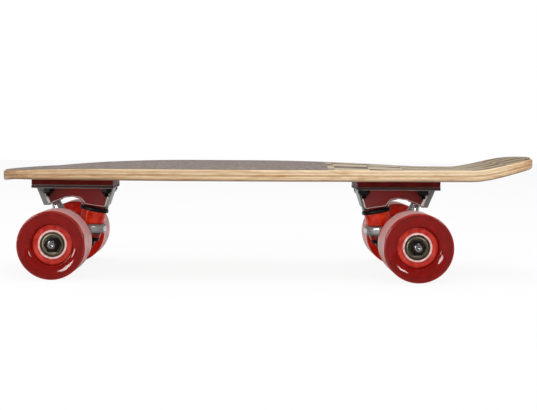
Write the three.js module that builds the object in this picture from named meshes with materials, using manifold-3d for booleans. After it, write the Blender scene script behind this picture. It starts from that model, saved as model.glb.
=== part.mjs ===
// A cruiser skateboard in millimetres. +X runs to the tail, +Z is up, and the
// origin lies on the floor under the middle of the deck.
// Each truck is drawn round the middle of its axle, with +X pointing inboard;
// the rear one is the front one turned half round.

import * as THREE from 'three';
import { mergeVertices } from 'three/addons/utils/BufferGeometryUtils.js';
import Module from 'manifold-3d';

const wasm = await Module();
wasm.setup();

// Deck
const deckLength = 489;
const noseOverhang = 57.4;
const wheelbase = 317.6;
const deckThickness = 9.6;
const edgeRadius = 2.6;
const widestHalfWidth = 75;
const widestX = -50;
const noseHalfWidth = 64;
const tailHalfWidth = 56.5;
const noseRoundLength = 52;
const tailRoundLength = 37;
const cornerPower = 2.25;
const tipShare = 0.9985;
const noseDroop = 3.2;
const noseDroopLength = 105;
const noseTuckLength = 27;
const kickRise = 11.1;
const kickLength = 64;
const crownHeight = 6;
const crownFrontX = -70;
const crownRearX = -10;
const crownRunIn = 143;
const crownRunOut = 170;
const deckStations = 36;
const crossShares = [-1, -0.75, -0.45, -0.2, 0.2, 0.45, 0.75, 1];
const crownFlatShare = 0.2;

// Grip sheet
const gripThickness = 0.8;
const glueGap = 0.1;

// Deck bolts and lock nuts
const boltPatternLength = 53.98;
const boltPatternWidth = 41.28;
const patternInboard = 13.1;
const boltRadius = 2.4;
const boltHeadRadius = 4.7;
const boltHeadHeight = 2.5;
const boltHeadSink = 0.2;
const driveRadius = 1.6;
const driveDepth = 1.4;
const boltStickout = 3;
const boltSides = 10;
const lockNutHeight = 5;
const lockNutFlats = 9.5;

// Riser pad
const riserThickness = 6.2;
const plateBack = 28.7;
const plateFront = 47;
const plateHalfWidth = 26.6;
const plateCorner = 1.2;
const riserInset = 0.1;

// Baseplate
const truckHeight = 49.7;
const flangeThickness = 3;
const bodyTopHalfWidth = 14.5;
const bodyFootHalfWidth = 12.4;
const bodyBack = 26;
const bodyFront = 45.5;
const ribFootReach = 8.2;
const ribFootWidth = 5;
const ribFootDrop = 4.8;
const archX = 7.5;
const archHeight = 38.2;
const kingpinSideReach = 7.9;
const kingpinSideRise = 2.1;

// Pivot
const pivotX = -11.2;
const pivotZ = 35;
const pivotLean = THREE.MathUtils.degToRad(20);
const pivotBossRadius = 7.2;
const pivotMouth = 2.5;
const pivotBossDepth = 12;
const cupWall = 1.2;
const cupRadius = 6.2;
const cupDepth = 6.5;
const stemTipRadius = 4.3;
const stemRadius = 6.1;
const stemShoulder = 12;
const stemRootRadius = 7.5;
const stemLength = 29;

// Kingpin, its bushings and washers, along the kingpin axis from the ring's middle
const ringX = 22.5;
const ringZ = 8.2;
const kingpinLean = THREE.MathUtils.degToRad(11.5);
const kingpinRadius = 4.75;
const kingpinBelow = 17.5;
const kingpinHeadFlats = 14;
const kingpinHeadHeight = 5;
const kingpinHeadDepth = 2.6;
const seatDistance = 20.5;
const seatRadius = 12.6;
const topWasherRadius = 13.5;
const topWasherDepth = 3.4;
const washerPlate = 1.3;
const bushingRadius = 12;
const bushingWaist = 0.2;
const lowBushingRadius = 10.9;
const lowBushingHeight = 3.5;
const lowBushingTaper = 0.8;
const lowWasherRadius = 10.2;
const lowWasherThickness = 2.6;
const kingpinNutFlats = 12.6;
const kingpinNutHeight = 5;

// Hanger and axle
const ringRadius = 14.6;
const ringThickness = 8.5;
const ringBore = 7;
const ringEdge = 1.4;
const ringLean = THREE.MathUtils.degToRad(2);
const hangerHalfLength = 47;
const tubeRadius = 8;
const tubeMiddleRadius = 8.6;
const tubeTaperAt = 30;
const tubeEdge = 1.2;
const collarRadius = 6;
const wingHalfWidth = 32;
const wingThickness = 8;
const wingTop = 19;
const wingTipHeight = 6;
const webHalfWidth = 11;
const axleRadius = 4;
const axleHalfLength = 84.5;
const axleEdge = 0.6;
const dimpleRadius = 1.4;
const dimpleDepth = 1.1;

// Wheels
const wheelRadius = 30;
const wheelWidth = 44;
const wheelCentreY = 65.5;
const lipRound = 3;
const dishRadius = 25.5;
const dishDepth = 1.2;
const dishFoot = 1.8;
const coreRadius = 17.5;
const coreWidth = 23;
const coreOutset = 0.5;
const coreLipRadius = 12.8;
const coreLipHeight = 0.9;
const coreShoulder = 7.6;
const bearingRadius = 11;
const bearingWidth = 7;
const axleNutFlats = 12.6;
const axleNutHeight = 4.2;
const speedWasherRadius = 5.8;
const speedWasherThickness = 0.8;
const wheelSides = 28;

// Clearances and cuts
const snugGap = 0.05;
const runGap = 0.15;
const turnedGap = 0.3;
const boltGap = 0.3;
const overrun = 2;
const roundSides = 20;
const smallSides = 16;
const hexSides = 6;

// Heights and places that follow from the sizes above
const frontAxleX = noseOverhang - deckLength / 2;
const rearAxleX = frontAxleX + wheelbase;
const riserBottom = truckHeight + snugGap;
const riserTop = riserBottom + riserThickness;
const deckBottomZ = wheelRadius + riserTop + snugGap;
const flangeBottom = truckHeight - flangeThickness;
const seatX = ringX + seatDistance * Math.sin(kingpinLean);
const seatZ = ringZ + seatDistance * Math.cos(kingpinLean);
const kingpinSlope = Math.tan(kingpinLean);

const colours = {
  ply: { color: 0xd9b983, roughness: 0.35, metalness: 0 },
  grip: { color: 0x8c847d, roughness: 0.95, metalness: 0 },
  blackSteel: { color: 0x17171a, roughness: 0.45, metalness: 0.8 },
  riser: { color: 0x6b0f10, roughness: 0.35, metalness: 0 },
  aluminium: { color: 0xc4c6c8, roughness: 0.2, metalness: 1 },
  bushing: { color: 0xe0331a, roughness: 0.25, metalness: 0 },
  steel: { color: 0xb9bbbd, roughness: 0.25, metalness: 1 },
  cup: { color: 0x1c1c1c, roughness: 0.7, metalness: 0 },
  urethane: { color: 0xa8141a, roughness: 0.2, metalness: 0 },
  core: { color: 0xe24335, roughness: 0.3, metalness: 0 },
  bearing: { color: 0x55524a, roughness: 0.35, metalness: 0.9 },
};

// Welds a closed shape, drops its empty triangles and turns its faces outward.
function weld(geometry) {
  const bare = geometry.clone();
  bare.deleteAttribute('normal');
  bare.deleteAttribute('uv');
  const merged = mergeVertices(bare);
  const points = merged.getAttribute('position').array;
  const index = merged.getIndex().array;
  const triangles = [];
  let volume = 0;
  const a = new THREE.Vector3();
  const b = new THREE.Vector3();
  const c = new THREE.Vector3();
  for (let i = 0; i < index.length; i += 3) {
    const [p, q, r] = [index[i], index[i + 1], index[i + 2]];
    if (p === q || q === r || r === p) continue;
    triangles.push([p, q, r]);
    a.fromArray(points, p * 3);
    b.fromArray(points, q * 3);
    c.fromArray(points, r * 3);
    volume += a.dot(b.cross(c));
  }
  const facing = volume < 0 ? ([p, q, r]) => [p, r, q] : (triangle) => triangle;
  return { points: new Float32Array(points), triangles: triangles.flatMap(facing) };
}

function solid(geometry) {
  const { points, triangles } = weld(geometry);
  const mesh = new wasm.Mesh({
    numProp: 3,
    vertProperties: points,
    triVerts: new Uint32Array(triangles),
  });
  return new wasm.Manifold(mesh);
}

function geometryOf(body) {
  const mesh = body.getMesh();
  const geometry = new THREE.BufferGeometry();
  geometry.setAttribute('position', new THREE.BufferAttribute(mesh.vertProperties, 3));
  geometry.setIndex(new THREE.BufferAttribute(mesh.triVerts, 1));
  geometry.computeVertexNormals();
  return geometry;
}

function piece(name, body, look) {
  const mesh = new THREE.Mesh(geometryOf(body), new THREE.MeshStandardMaterial(look));
  mesh.name = name;
  return mesh;
}

// Revolves [radius, distance] pairs about Y. The middle of each flat, not its
// corner, lies at the named radius, so a pin always fits its bore.
function turned(profile, sides) {
  const spread = 1 / Math.cos(Math.PI / sides);
  const points = profile.map(([radius, along]) => new THREE.Vector2(radius * spread, along));
  return new THREE.LatheGeometry(points, sides, Math.PI / sides);
}

function rod(radius, from, to, sides) {
  return turned([[0, from], [radius, from], [radius, to], [0, to]], sides);
}

function ring(outer, bore, from, to, sides) {
  const profile = [[bore, from], [outer, from], [outer, to], [bore, to], [bore, from]];
  return turned(profile, sides);
}

// Stands a turned shape upright, leans it inboard and moves it into place.
function upright(geometry, lean, x, y, z) {
  return geometry.rotateX(Math.PI / 2).rotateY(lean).translate(x, y, z);
}

function onKingpin(geometry) {
  return upright(geometry, kingpinLean, ringX, 0, ringZ);
}

function onPivot(geometry) {
  return upright(geometry, -pivotLean, pivotX, 0, pivotZ);
}

// Extrudes an outline drawn in X and Z to both sides of the middle plane.
function acrossY(outline, halfWidth) {
  const shape = new THREE.Shape(outline.map(([x, z]) => new THREE.Vector2(x, z)));
  const depth = halfWidth * 2;
  const geometry = new THREE.ExtrudeGeometry(shape, { depth, bevelEnabled: false });
  return geometry.rotateX(Math.PI / 2).translate(0, halfWidth, 0);
}

// Extrudes an outline drawn in Y and Z from one X to another.
function alongX(outline, from, to) {
  const shape = new THREE.Shape(outline.map(([y, z]) => new THREE.Vector2(y, z)));
  const depth = to - from;
  const geometry = new THREE.ExtrudeGeometry(shape, { depth, bevelEnabled: false });
  return geometry.rotateX(Math.PI / 2).rotateZ(Math.PI / 2).translate(from, 0, 0);
}

function roundedPlate(back, front, halfWidth, corner, bottom, top) {
  const shape = new THREE.Shape();
  shape.moveTo(back + corner, -halfWidth);
  shape.lineTo(front - corner, -halfWidth);
  shape.quadraticCurveTo(front, -halfWidth, front, corner - halfWidth);
  shape.lineTo(front, halfWidth - corner);
  shape.quadraticCurveTo(front, halfWidth, front - corner, halfWidth);
  shape.lineTo(back + corner, halfWidth);
  shape.quadraticCurveTo(back, halfWidth, back, halfWidth - corner);
  shape.lineTo(back, corner - halfWidth);
  shape.quadraticCurveTo(back, -halfWidth, back + corner, -halfWidth);
  const depth = top - bottom;
  const options = { depth, bevelEnabled: false, curveSegments: 4 };
  return new THREE.ExtrudeGeometry(shape, options).translate(0, 0, bottom);
}

// The four bolt places of a truck, measured from its axle.
function boltPlaces() {
  const places = [];
  for (const end of [-1, 1]) {
    for (const side of [-1, 1]) {
      const x = patternInboard + end * boltPatternLength / 2;
      places.push([x, side * boltPatternWidth / 2]);
    }
  }
  return places;
}

function cutBoltHoles(body, from, to) {
  let cut = body;
  for (const [x, y] of boltPlaces()) {
    const hole = rod(boltRadius + boltGap, from, to, boltSides);
    cut = cut.subtract(solid(upright(hole, 0, x, y, 0)));
  }
  return cut;
}

// Deck shape

function smooth(share) {
  const t = THREE.MathUtils.clamp(share, 0, 1);
  return t * t * (3 - 2 * t);
}

function halfWidthAt(x) {
  const towardNose = x < widestX;
  const endHalfWidth = towardNose ? noseHalfWidth : tailHalfWidth;
  const endX = towardNose ? -deckLength / 2 : deckLength / 2;
  const roundLength = towardNose ? noseRoundLength : tailRoundLength;
  const taper = (1 + Math.cos(Math.PI * (x - widestX) / (endX - widestX))) / 2;
  const wide = endHalfWidth + (widestHalfWidth - endHalfWidth) * taper;
  const intoRound = 1 - Math.abs(endX - x) / roundLength;
  const corner = Math.pow(Math.max(0, intoRound) * tipShare, cornerPower);
  return wide * Math.pow(1 - corner, 1 / cornerPower);
}

// How far a face of the deck rises at the tail and droops at the nose. The
// upper face droops over a longer stretch than the one that meets the riser.
function bendAt(x, droopLength) {
  const kick = kickRise * smooth((x - deckLength / 2 + kickLength) / kickLength);
  const noseShare = Math.max(0, 1 - (x + deckLength / 2) / droopLength);
  return kick - noseDroop * noseShare * noseShare;
}

// Fades from one to nought, slowly at first, over a run.
function fade(distance, run) {
  return Math.cos(THREE.MathUtils.clamp(distance / run, 0, 1) * Math.PI / 2);
}

// How much each face draws in where the nose and tail edges are rounded over.
function tipRoundAt(x) {
  const inward = Math.max(0, edgeRadius - (deckLength / 2 - Math.abs(x)));
  return edgeRadius - Math.sqrt(edgeRadius * edgeRadius - inward * inward);
}

// The crown swells the middle of the board. Under the deck it stays clear of
// both risers, so their seats are flat.
function crownAt(x, share, frontEnd, rearEnd) {
  const front = fade(crownFrontX - x, crownFrontX - frontEnd);
  const rear = fade(x - crownRearX, rearEnd - crownRearX);
  const out = Math.max(0, Math.abs(share) - crownFlatShare) / (1 - crownFlatShare);
  return crownHeight * front * rear * (1 - out * out);
}

function deckTopAt(x, share) {
  const frontEnd = crownFrontX - crownRunIn;
  const rearEnd = crownRearX + crownRunOut;
  const crown = crownAt(x, share, frontEnd, rearEnd);
  const face = deckBottomZ + deckThickness - tipRoundAt(x);
  return face + bendAt(x, noseDroopLength) + crown;
}

function deckUnderAt(x, share) {
  const frontEnd = frontAxleX + plateFront + overrun;
  const rearEnd = rearAxleX - plateFront - overrun;
  const face = deckBottomZ + tipRoundAt(x);
  return face + bendAt(x, noseTuckLength) + crownAt(x, share, frontEnd, rearEnd);
}

// One closed loop round the deck at a station, nose to tail view.
function deckLoop(x) {
  const halfWidth = halfWidthAt(x);
  const radius = Math.min(edgeRadius - tipRoundAt(x) / 2, halfWidth / 2);
  const reach = halfWidth - radius;
  const diagonal = radius * Math.SQRT1_2;
  const top = crossShares.map((share) => [reach * share, deckTopAt(x, share)]);
  const under = crossShares.map((share) => [reach * share, deckUnderAt(x, share)]).reverse();
  const topEdge = deckTopAt(x, 1) - radius;
  const underEdge = deckUnderAt(x, 1) + radius;
  const right = [
    [reach + diagonal, topEdge + diagonal],
    [halfWidth, topEdge],
    [halfWidth, underEdge],
    [reach + diagonal, underEdge - diagonal],
  ];
  const left = right.map(([y, z]) => [-y, z]).reverse();
  return [...top, ...right, ...under, ...left].map(([y, z]) => [x, y, z]);
}

// The sheet lies on the deck's own top points, in from its rounded edge, and
// lists them in the same order, so both surfaces fold along the same lines.
function gripLoop(x) {
  const halfWidth = halfWidthAt(x);
  const reach = halfWidth - Math.min(edgeRadius - tipRoundAt(x) / 2, halfWidth / 2);
  const lift = (height, share) => deckTopAt(x, share) + height;
  const under = crossShares.map((share) => [x, reach * share, lift(glueGap, share)]);
  const upper = glueGap + gripThickness;
  const top = crossShares.map((share) => [x, reach * share, lift(upper, share)]);
  return [...under, ...top.reverse()];
}

// Joins a row of closed loops into one body with a flat cap at each end.
function loft(loops) {
  const count = loops[0].length;
  const points = loops.flat(2);
  const index = [];
  for (let i = 0; i + 1 < loops.length; i += 1) {
    for (let j = 0; j < count; j += 1) {
      const k = (j + 1) % count;
      const [a, b] = [i * count + j, i * count + k];
      const [c, d] = [a + count, b + count];
      index.push(a, b, c, b, d, c);
    }
  }
  const last = (loops.length - 1) * count;
  for (let j = 1; j + 1 < count; j += 1) {
    index.push(0, j + 1, j, last, last + j, last + j + 1);
  }
  const geometry = new THREE.BufferGeometry();
  geometry.setAttribute('position', new THREE.Float32BufferAttribute(points, 3));
  geometry.setIndex(index);
  return geometry;
}

// Cross sections from nose to tail, closer together toward both ends.
function deckSections() {
  const half = deckLength / 2;
  const last = deckStations - 1;
  return Array.from({ length: deckStations }, (_, i) => -half * Math.cos(Math.PI * i / last));
}

// Every bolt of the board: its truck's name, its number and its place.
function deckBolts() {
  const bolts = [];
  for (const [truck, axleX, facing] of [['front', frontAxleX, 1], ['rear', rearAxleX, -1]]) {
    boltPlaces().forEach(([x, y], i) => {
      const worldX = axleX + facing * x;
      const worldY = facing * y;
      const share = worldY / (halfWidthAt(worldX) - edgeRadius);
      const surface = deckTopAt(worldX, share) + glueGap + gripThickness;
      bolts.push({ truck, number: i + 1, x: worldX, y: worldY, head: surface - boltHeadSink });
    });
  }
  return bolts;
}

const boltTip = flangeBottom - snugGap - lockNutHeight - boltStickout + wheelRadius;

// A bolt with a countersunk head, its head at the top of the profile.
function boltProfile(head, gap) {
  const neck = head - boltHeadHeight;
  const shank = boltRadius + gap;
  return [[0, boltTip - gap], [shank, boltTip - gap], [shank, neck - gap],
    [boltHeadRadius + gap, head - gap], [boltHeadRadius + gap, head + gap], [0, head + gap]];
}

function boltCut({ x, y, head }) {
  return solid(upright(turned(boltProfile(head, boltGap), boltSides), 0, x, y, 0));
}

function sunkWell({ x, y, head }) {
  const well = rod(boltHeadRadius + boltGap, head, head + crownHeight, boltSides);
  return solid(upright(well, 0, x, y, 0));
}

function deckBoard() {
  let body = solid(loft(deckSections().map(deckLoop)));
  for (const bolt of deckBolts()) body = body.subtract(boltCut(bolt)).subtract(sunkWell(bolt));
  return piece('deck', body, colours.ply);
}

function gripSheet() {
  let body = solid(loft(deckSections().slice(1, -1).map(gripLoop)));
  for (const bolt of deckBolts()) body = body.subtract(boltCut(bolt)).subtract(sunkWell(bolt));
  return piece('grip_tape', body, colours.grip);
}

function deckBolt({ truck, number, x, y, head }) {
  const drive = rod(driveRadius, head - driveDepth, head + overrun, hexSides);
  const body = solid(upright(turned(boltProfile(head, 0), boltSides), 0, 0, 0, 0));
  const mesh = piece(`${truck}_deck_bolt_${number}`,
    body.subtract(solid(upright(drive, 0, 0, 0, 0))), colours.blackSteel);
  mesh.position.set(x, y, 0);
  return mesh;
}

function lockNut({ truck, number, x, y }) {
  const top = wheelRadius + flangeBottom - snugGap;
  const bottom = top - lockNutHeight;
  const nut = ring(lockNutFlats / 2, boltRadius + runGap, bottom, top, hexSides);
  const mesh = piece(`${truck}_lock_nut_${number}`,
    solid(upright(nut, 0, 0, 0, 0)), colours.blackSteel);
  mesh.position.set(x, y, 0);
  return mesh;
}

// Truck pieces

function riserPad() {
  const back = riserInset - plateBack;
  const front = plateFront - riserInset;
  const halfWidth = plateHalfWidth - riserInset;
  const pad = solid(roundedPlate(back, front, halfWidth, plateCorner, riserBottom, riserTop));
  return cutBoltHoles(pad, riserBottom - overrun, riserTop + overrun);
}

// The height of the kingpin seat's plane at a distance inboard.
function seatHeightAt(x) {
  return seatZ - (x - seatX) * kingpinSlope;
}

// Side view of the baseplate's walls: end rib, pivot side, arch, kingpin side.
function wallOutline() {
  const inPlate = truckHeight - flangeThickness / 2;
  const ribFootX = pivotX - ribFootReach;
  const footZ = pivotZ - ribFootDrop;
  const innerX = seatX - kingpinSideReach;
  const outerX = seatX + seatRadius - kingpinSideRise / 2;
  const archSpan = (innerX - pivotX) / 2;
  return [
    [-bodyBack, inPlate],
    [-bodyBack, flangeBottom],
    [ribFootX, footZ],
    [ribFootX + ribFootWidth, footZ],
    [pivotX, pivotZ - pivotMouth],
    [archX - archSpan / 2, archHeight - kingpinSideRise / 2],
    [archX, archHeight],
    [archX + archSpan / 2, archHeight - kingpinSideRise],
    [innerX, seatHeightAt(innerX) + kingpinSideRise / 2],
    [outerX, seatHeightAt(outerX) + kingpinSideRise],
    [outerX + kingpinSideRise, seatHeightAt(outerX) + kingpinSideRise * 2],
    [bodyFront, flangeBottom],
    [bodyFront, inPlate],
  ];
}

// The walls draw in toward their foot, as a casting does.
function draftOutline() {
  const footZ = seatHeightAt(plateFront);
  return [
    [-bodyTopHalfWidth, truckHeight],
    [-bodyTopHalfWidth, flangeBottom],
    [-bodyFootHalfWidth, footZ],
    [bodyFootHalfWidth, footZ],
    [bodyTopHalfWidth, flangeBottom],
    [bodyTopHalfWidth, truckHeight],
  ];
}

function kingpinHeadTop() {
  return (truckHeight - kingpinHeadDepth - ringZ) / Math.cos(kingpinLean);
}

function baseplate() {
  const headUnder = kingpinHeadTop() - kingpinHeadHeight - turnedGap;
  const beyond = kingpinHeadTop() + truckHeight;
  const walls = solid(acrossY(wallOutline(), plateHalfWidth))
    .intersect(solid(alongX(draftOutline(), -plateBack, plateFront)));
  const seatBoss = solid(onKingpin(rod(seatRadius, seatDistance, headUnder, roundSides)));
  const pivotBoss = solid(onPivot(rod(pivotBossRadius, -pivotMouth, pivotBossDepth, smallSides)));
  const under = solid(roundedPlate(-plateBack, plateFront, plateHalfWidth, plateCorner,
    -truckHeight, truckHeight));
  const flange = solid(roundedPlate(-plateBack, plateFront, plateHalfWidth, plateCorner,
    flangeBottom, truckHeight));
  const headPocket = rod(kingpinHeadFlats / Math.SQRT2, headUnder, beyond, smallSides);
  const pinBore = rod(kingpinRadius + turnedGap, 0, beyond, smallSides);
  const cupBore = rod(cupRadius + turnedGap, -pivotMouth - overrun, cupDepth + turnedGap, smallSides);
  const body = walls.add(seatBoss).add(pivotBoss).intersect(under).add(flange)
    .subtract(solid(onKingpin(headPocket)))
    .subtract(solid(onKingpin(pinBore)))
    .subtract(solid(onPivot(cupBore)));
  return cutBoltHoles(body, flangeBottom - overrun, truckHeight + overrun);
}

// A cup open toward the hanger, with the stem's round tip inside it.
function pivotCup() {
  const inner = cupRadius - cupWall;
  const mouth = -pivotMouth + turnedGap;
  const profile = [[0, cupDepth], [cupRadius, cupDepth], [cupRadius, mouth],
    [inner, mouth], [inner, cupDepth - cupWall], [0, cupDepth - cupWall]];
  return solid(onPivot(turned(profile, smallSides)));
}

function kingpin() {
  const top = kingpinHeadTop();
  const neck = top - kingpinHeadHeight;
  const shank = solid(onKingpin(rod(kingpinRadius, -kingpinBelow, neck + overrun, smallSides)));
  return shank.add(solid(onKingpin(rod(kingpinHeadFlats / 2, neck, top, hexSides))));
}

const lowBushingFoot = -ringThickness / 2 - turnedGap - lowBushingHeight;
const lowWasherFoot = lowBushingFoot - turnedGap - lowWasherThickness;

function kingpinNut() {
  const top = lowWasherFoot - turnedGap;
  const bore = kingpinRadius + runGap;
  return solid(onKingpin(ring(kingpinNutFlats / 2, bore, top - kingpinNutHeight, top, hexSides)));
}

// A steel cup that holds the top bushing against the baseplate's seat.
function topWasher() {
  const bore = kingpinRadius + turnedGap;
  const top = seatDistance - turnedGap;
  const inner = bushingRadius + turnedGap;
  const foot = top - topWasherDepth;
  const profile = [[bore, top], [topWasherRadius, top], [topWasherRadius, foot],
    [inner, foot], [inner, top - washerPlate], [bore, top - washerPlate], [bore, top]];
  return solid(onKingpin(turned(profile, roundSides)));
}

function bottomWasher() {
  const bore = kingpinRadius + turnedGap;
  const top = lowBushingFoot - turnedGap;
  return solid(onKingpin(ring(lowWasherRadius, bore, lowWasherFoot, top, roundSides)));
}

// A block above or below the hanger's ring, to trim a bushing against it.
function ringSide(direction) {
  const reach = seatDistance + ringRadius;
  const near = direction * (ringThickness / 2 + turnedGap);
  const far = direction * (ringThickness / 2 + reach);
  const from = Math.min(near, far);
  const to = Math.max(near, far);
  return solid(upright(rod(reach, from, to, smallSides), ringLean, ringX, 0, ringZ));
}

function topBushing() {
  const bore = kingpinRadius + turnedGap;
  const top = seatDistance - turnedGap * 2 - washerPlate;
  const waist = bushingRadius - bushingWaist;
  const middle = (top + ringThickness / 2) / 2;
  const profile = [[bore, 0], [bushingRadius, 0], [bushingRadius, ringThickness / 2 + bushingWaist],
    [waist, middle], [bushingRadius, top - topWasherDepth], [bushingRadius, top],
    [bore, top], [bore, 0]];
  return solid(onKingpin(turned(profile, roundSides))).intersect(ringSide(1));
}

function bottomBushing() {
  const bore = kingpinRadius + turnedGap;
  const foot = lowBushingRadius - lowBushingTaper;
  const profile = [[bore, 0], [lowBushingRadius, 0], [lowBushingRadius, -ringThickness / 2],
    [foot, lowBushingFoot], [bore, lowBushingFoot], [bore, 0]];
  return solid(onKingpin(turned(profile, roundSides))).intersect(ringSide(-1));
}

function axleTube() {
  const half = hangerHalfLength;
  const collar = wheelCentreY + coreOutset - coreWidth / 2 - snugGap;
  const right = [[tubeMiddleRadius, 0], [tubeMiddleRadius, tubeTaperAt / 2],
    [tubeRadius, tubeTaperAt], [tubeRadius, half - tubeEdge], [tubeRadius - tubeEdge, half],
    [collarRadius, half], [collarRadius, collar], [0, collar]];
  const left = right.slice(1).map(([radius, along]) => [radius, -along]).reverse();
  return turned([...left, ...right], roundSides);
}

// The broad web that spreads the stem's load to both ends of the axle tube.
function wings() {
  const outline = [
    [-wingHalfWidth, 0],
    [-wingHalfWidth, wingTipHeight],
    [-stemRootRadius, wingTop],
    [stemRootRadius, wingTop],
    [wingHalfWidth, wingTipHeight],
    [wingHalfWidth, 0],
  ];
  const from = -wingThickness * 3 / 4;
  return alongX(outline, from, from + wingThickness);
}

// The bridge from the axle tube to the kingpin ring.
function ringBridge() {
  const top = ringZ + ringThickness / 2;
  const under = ringZ - ringThickness / 2;
  const outline = [
    [-wingThickness / 2, 0],
    [tubeRadius - tubeEdge * 2, 0],
    [tubeRadius, under + ringEdge],
    [ringX, under + ringEdge],
    [ringX, top - ringEdge],
    [0, top + ringEdge],
    [-wingThickness / 2, top + ringEdge],
  ];
  return acrossY(outline, webHalfWidth);
}

function pivotStem() {
  const tip = stemTipRadius;
  const profile = [[0, tip], [tip * Math.SQRT1_2, tip * Math.SQRT1_2], [tip, 0],
    [tip, -pivotMouth], [stemRadius, -stemShoulder],
    [stemRootRadius, -stemLength + tubeEdge], [stemRootRadius, -stemLength], [0, -stemLength]];
  return onPivot(turned(profile, smallSides));
}

function kingpinRing() {
  const half = ringThickness / 2;
  const flat = ringRadius - ringEdge;
  const profile = [[0, -half], [flat, -half], [ringRadius, ringEdge - half],
    [ringRadius, half - ringEdge], [flat, half], [0, half]];
  return upright(turned(profile, roundSides), ringLean, ringX, 0, ringZ);
}

function hanger() {
  const reach = ringThickness / 2 + overrun;
  const bore = upright(rod(ringBore, -reach, reach, roundSides), ringLean, ringX, 0, ringZ);
  return solid(axleTube()).add(solid(wings())).add(solid(ringBridge()))
    .add(solid(pivotStem())).add(solid(kingpinRing()))
    .subtract(solid(bore))
    .subtract(solid(rod(axleRadius + runGap, -axleHalfLength, axleHalfLength, smallSides)));
}

function axle() {
  const half = axleHalfLength;
  const right = [[axleRadius, half - axleEdge], [axleRadius - axleEdge, half],
    [dimpleRadius, half], [0, half - dimpleDepth]];
  const left = right.map(([radius, along]) => [radius, -along]).reverse();
  return solid(turned([...left, ...right], smallSides));
}

// Wheel pieces, about the wheel's middle, with the outer face toward +Y

// One side of the tyre, from its tread over the round lip to the core's face.
function tyreSide(coreFace) {
  const half = wheelWidth / 2;
  const tread = half - lipRound;
  const face = wheelRadius - lipRound;
  const diagonal = lipRound * Math.SQRT1_2;
  return [[wheelRadius, tread], [face + diagonal, tread + diagonal], [face, half],
    [dishRadius, half - dishDepth], [coreRadius + dishFoot, coreFace + dishFoot],
    [coreRadius, coreFace]];
}

function tyre() {
  const outer = tyreSide(coreWidth / 2 + coreOutset);
  const mirrored = tyreSide(coreWidth / 2 - coreOutset);
  const inner = mirrored.map(([radius, along]) => [radius, -along]).reverse();
  return turned([...inner, ...outer, inner[0]], wheelSides);
}

function wheelCore() {
  const half = coreWidth / 2;
  const lip = half + coreLipHeight;
  const seat = half - bearingWidth - snugGap;
  const bore = bearingRadius + snugGap;
  const radius = coreRadius - snugGap;
  const profile = [[coreShoulder, -seat], [bore, -seat], [bore, -half], [radius, -half],
    [radius, half], [coreLipRadius, half], [coreLipRadius, lip], [bore, lip],
    [bore, seat], [coreShoulder, seat], [coreShoulder, -seat]];
  return turned(profile, wheelSides).translate(0, coreOutset, 0);
}

function bearing() {
  const half = bearingWidth / 2;
  return ring(bearingRadius, axleRadius + runGap, -half, half, wheelSides);
}

function axleNut() {
  const face = coreWidth / 2 + coreOutset + snugGap;
  const top = face + speedWasherThickness;
  const bore = axleRadius + runGap;
  const disc = solid(ring(speedWasherRadius, bore, face, top + snugGap, smallSides));
  return disc.add(solid(ring(axleNutFlats / 2, bore, top, top + axleNutHeight, hexSides)));
}

// side is -1 for the near wheel and 1 for the far one.
function wheel(name, side) {
  const group = new THREE.Group();
  const facing = (geometry) => solid(side < 0 ? geometry.rotateX(Math.PI) : geometry);
  const seatAt = (coreWidth - bearingWidth) / 2;
  const outer = piece(`${name}_bearing_outer`, solid(bearing()), colours.bearing);
  const inner = piece(`${name}_bearing_inner`, solid(bearing()), colours.bearing);
  outer.position.y = side * (seatAt + coreOutset);
  inner.position.y = -side * (seatAt - coreOutset);
  const nut = piece(`${name}_axle_nut`, axleNut(), colours.blackSteel);
  nut.rotation.x = side < 0 ? Math.PI : 0;
  group.add(
    piece(`${name}_tyre`, facing(tyre()), colours.urethane),
    piece(`${name}_core`, facing(wheelCore()), colours.core),
    outer,
    inner,
    nut,
  );
  group.position.y = side * wheelCentreY;
  return group;
}

// The rear truck is turned half round, so its sides swap.
function truck(name, axleX, turn, leftSide) {
  const group = new THREE.Group();
  group.add(
    piece(`${name}_riser_pad`, riserPad(), colours.riser),
    piece(`${name}_baseplate`, baseplate(), colours.aluminium),
    piece(`${name}_pivot_cup`, pivotCup(), colours.cup),
    piece(`${name}_kingpin`, kingpin(), colours.steel),
    piece(`${name}_kingpin_nut`, kingpinNut(), colours.steel),
    piece(`${name}_top_washer`, topWasher(), colours.blackSteel),
    piece(`${name}_top_bushing`, topBushing(), colours.bushing),
    piece(`${name}_bottom_bushing`, bottomBushing(), colours.bushing),
    piece(`${name}_bottom_washer`, bottomWasher(), colours.blackSteel),
    piece(`${name}_hanger`, hanger(), colours.aluminium),
    piece(`${name}_axle`, axle(), colours.steel),
    wheel(`${name}_left`, leftSide),
    wheel(`${name}_right`, -leftSide),
  );
  group.rotation.z = turn;
  group.position.set(axleX, 0, wheelRadius);
  return group;
}

const skateboard = new THREE.Group();
skateboard.add(deckBoard(), gripSheet());
for (const bolt of deckBolts()) skateboard.add(deckBolt(bolt), lockNut(bolt));
skateboard.add(truck('front', frontAxleX, 0, -1), truck('rear', rearAxleX, Math.PI, 1));

export default skateboard;
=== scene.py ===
import math

import bmesh
import bpy
from mathutils import Matrix, Vector


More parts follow.
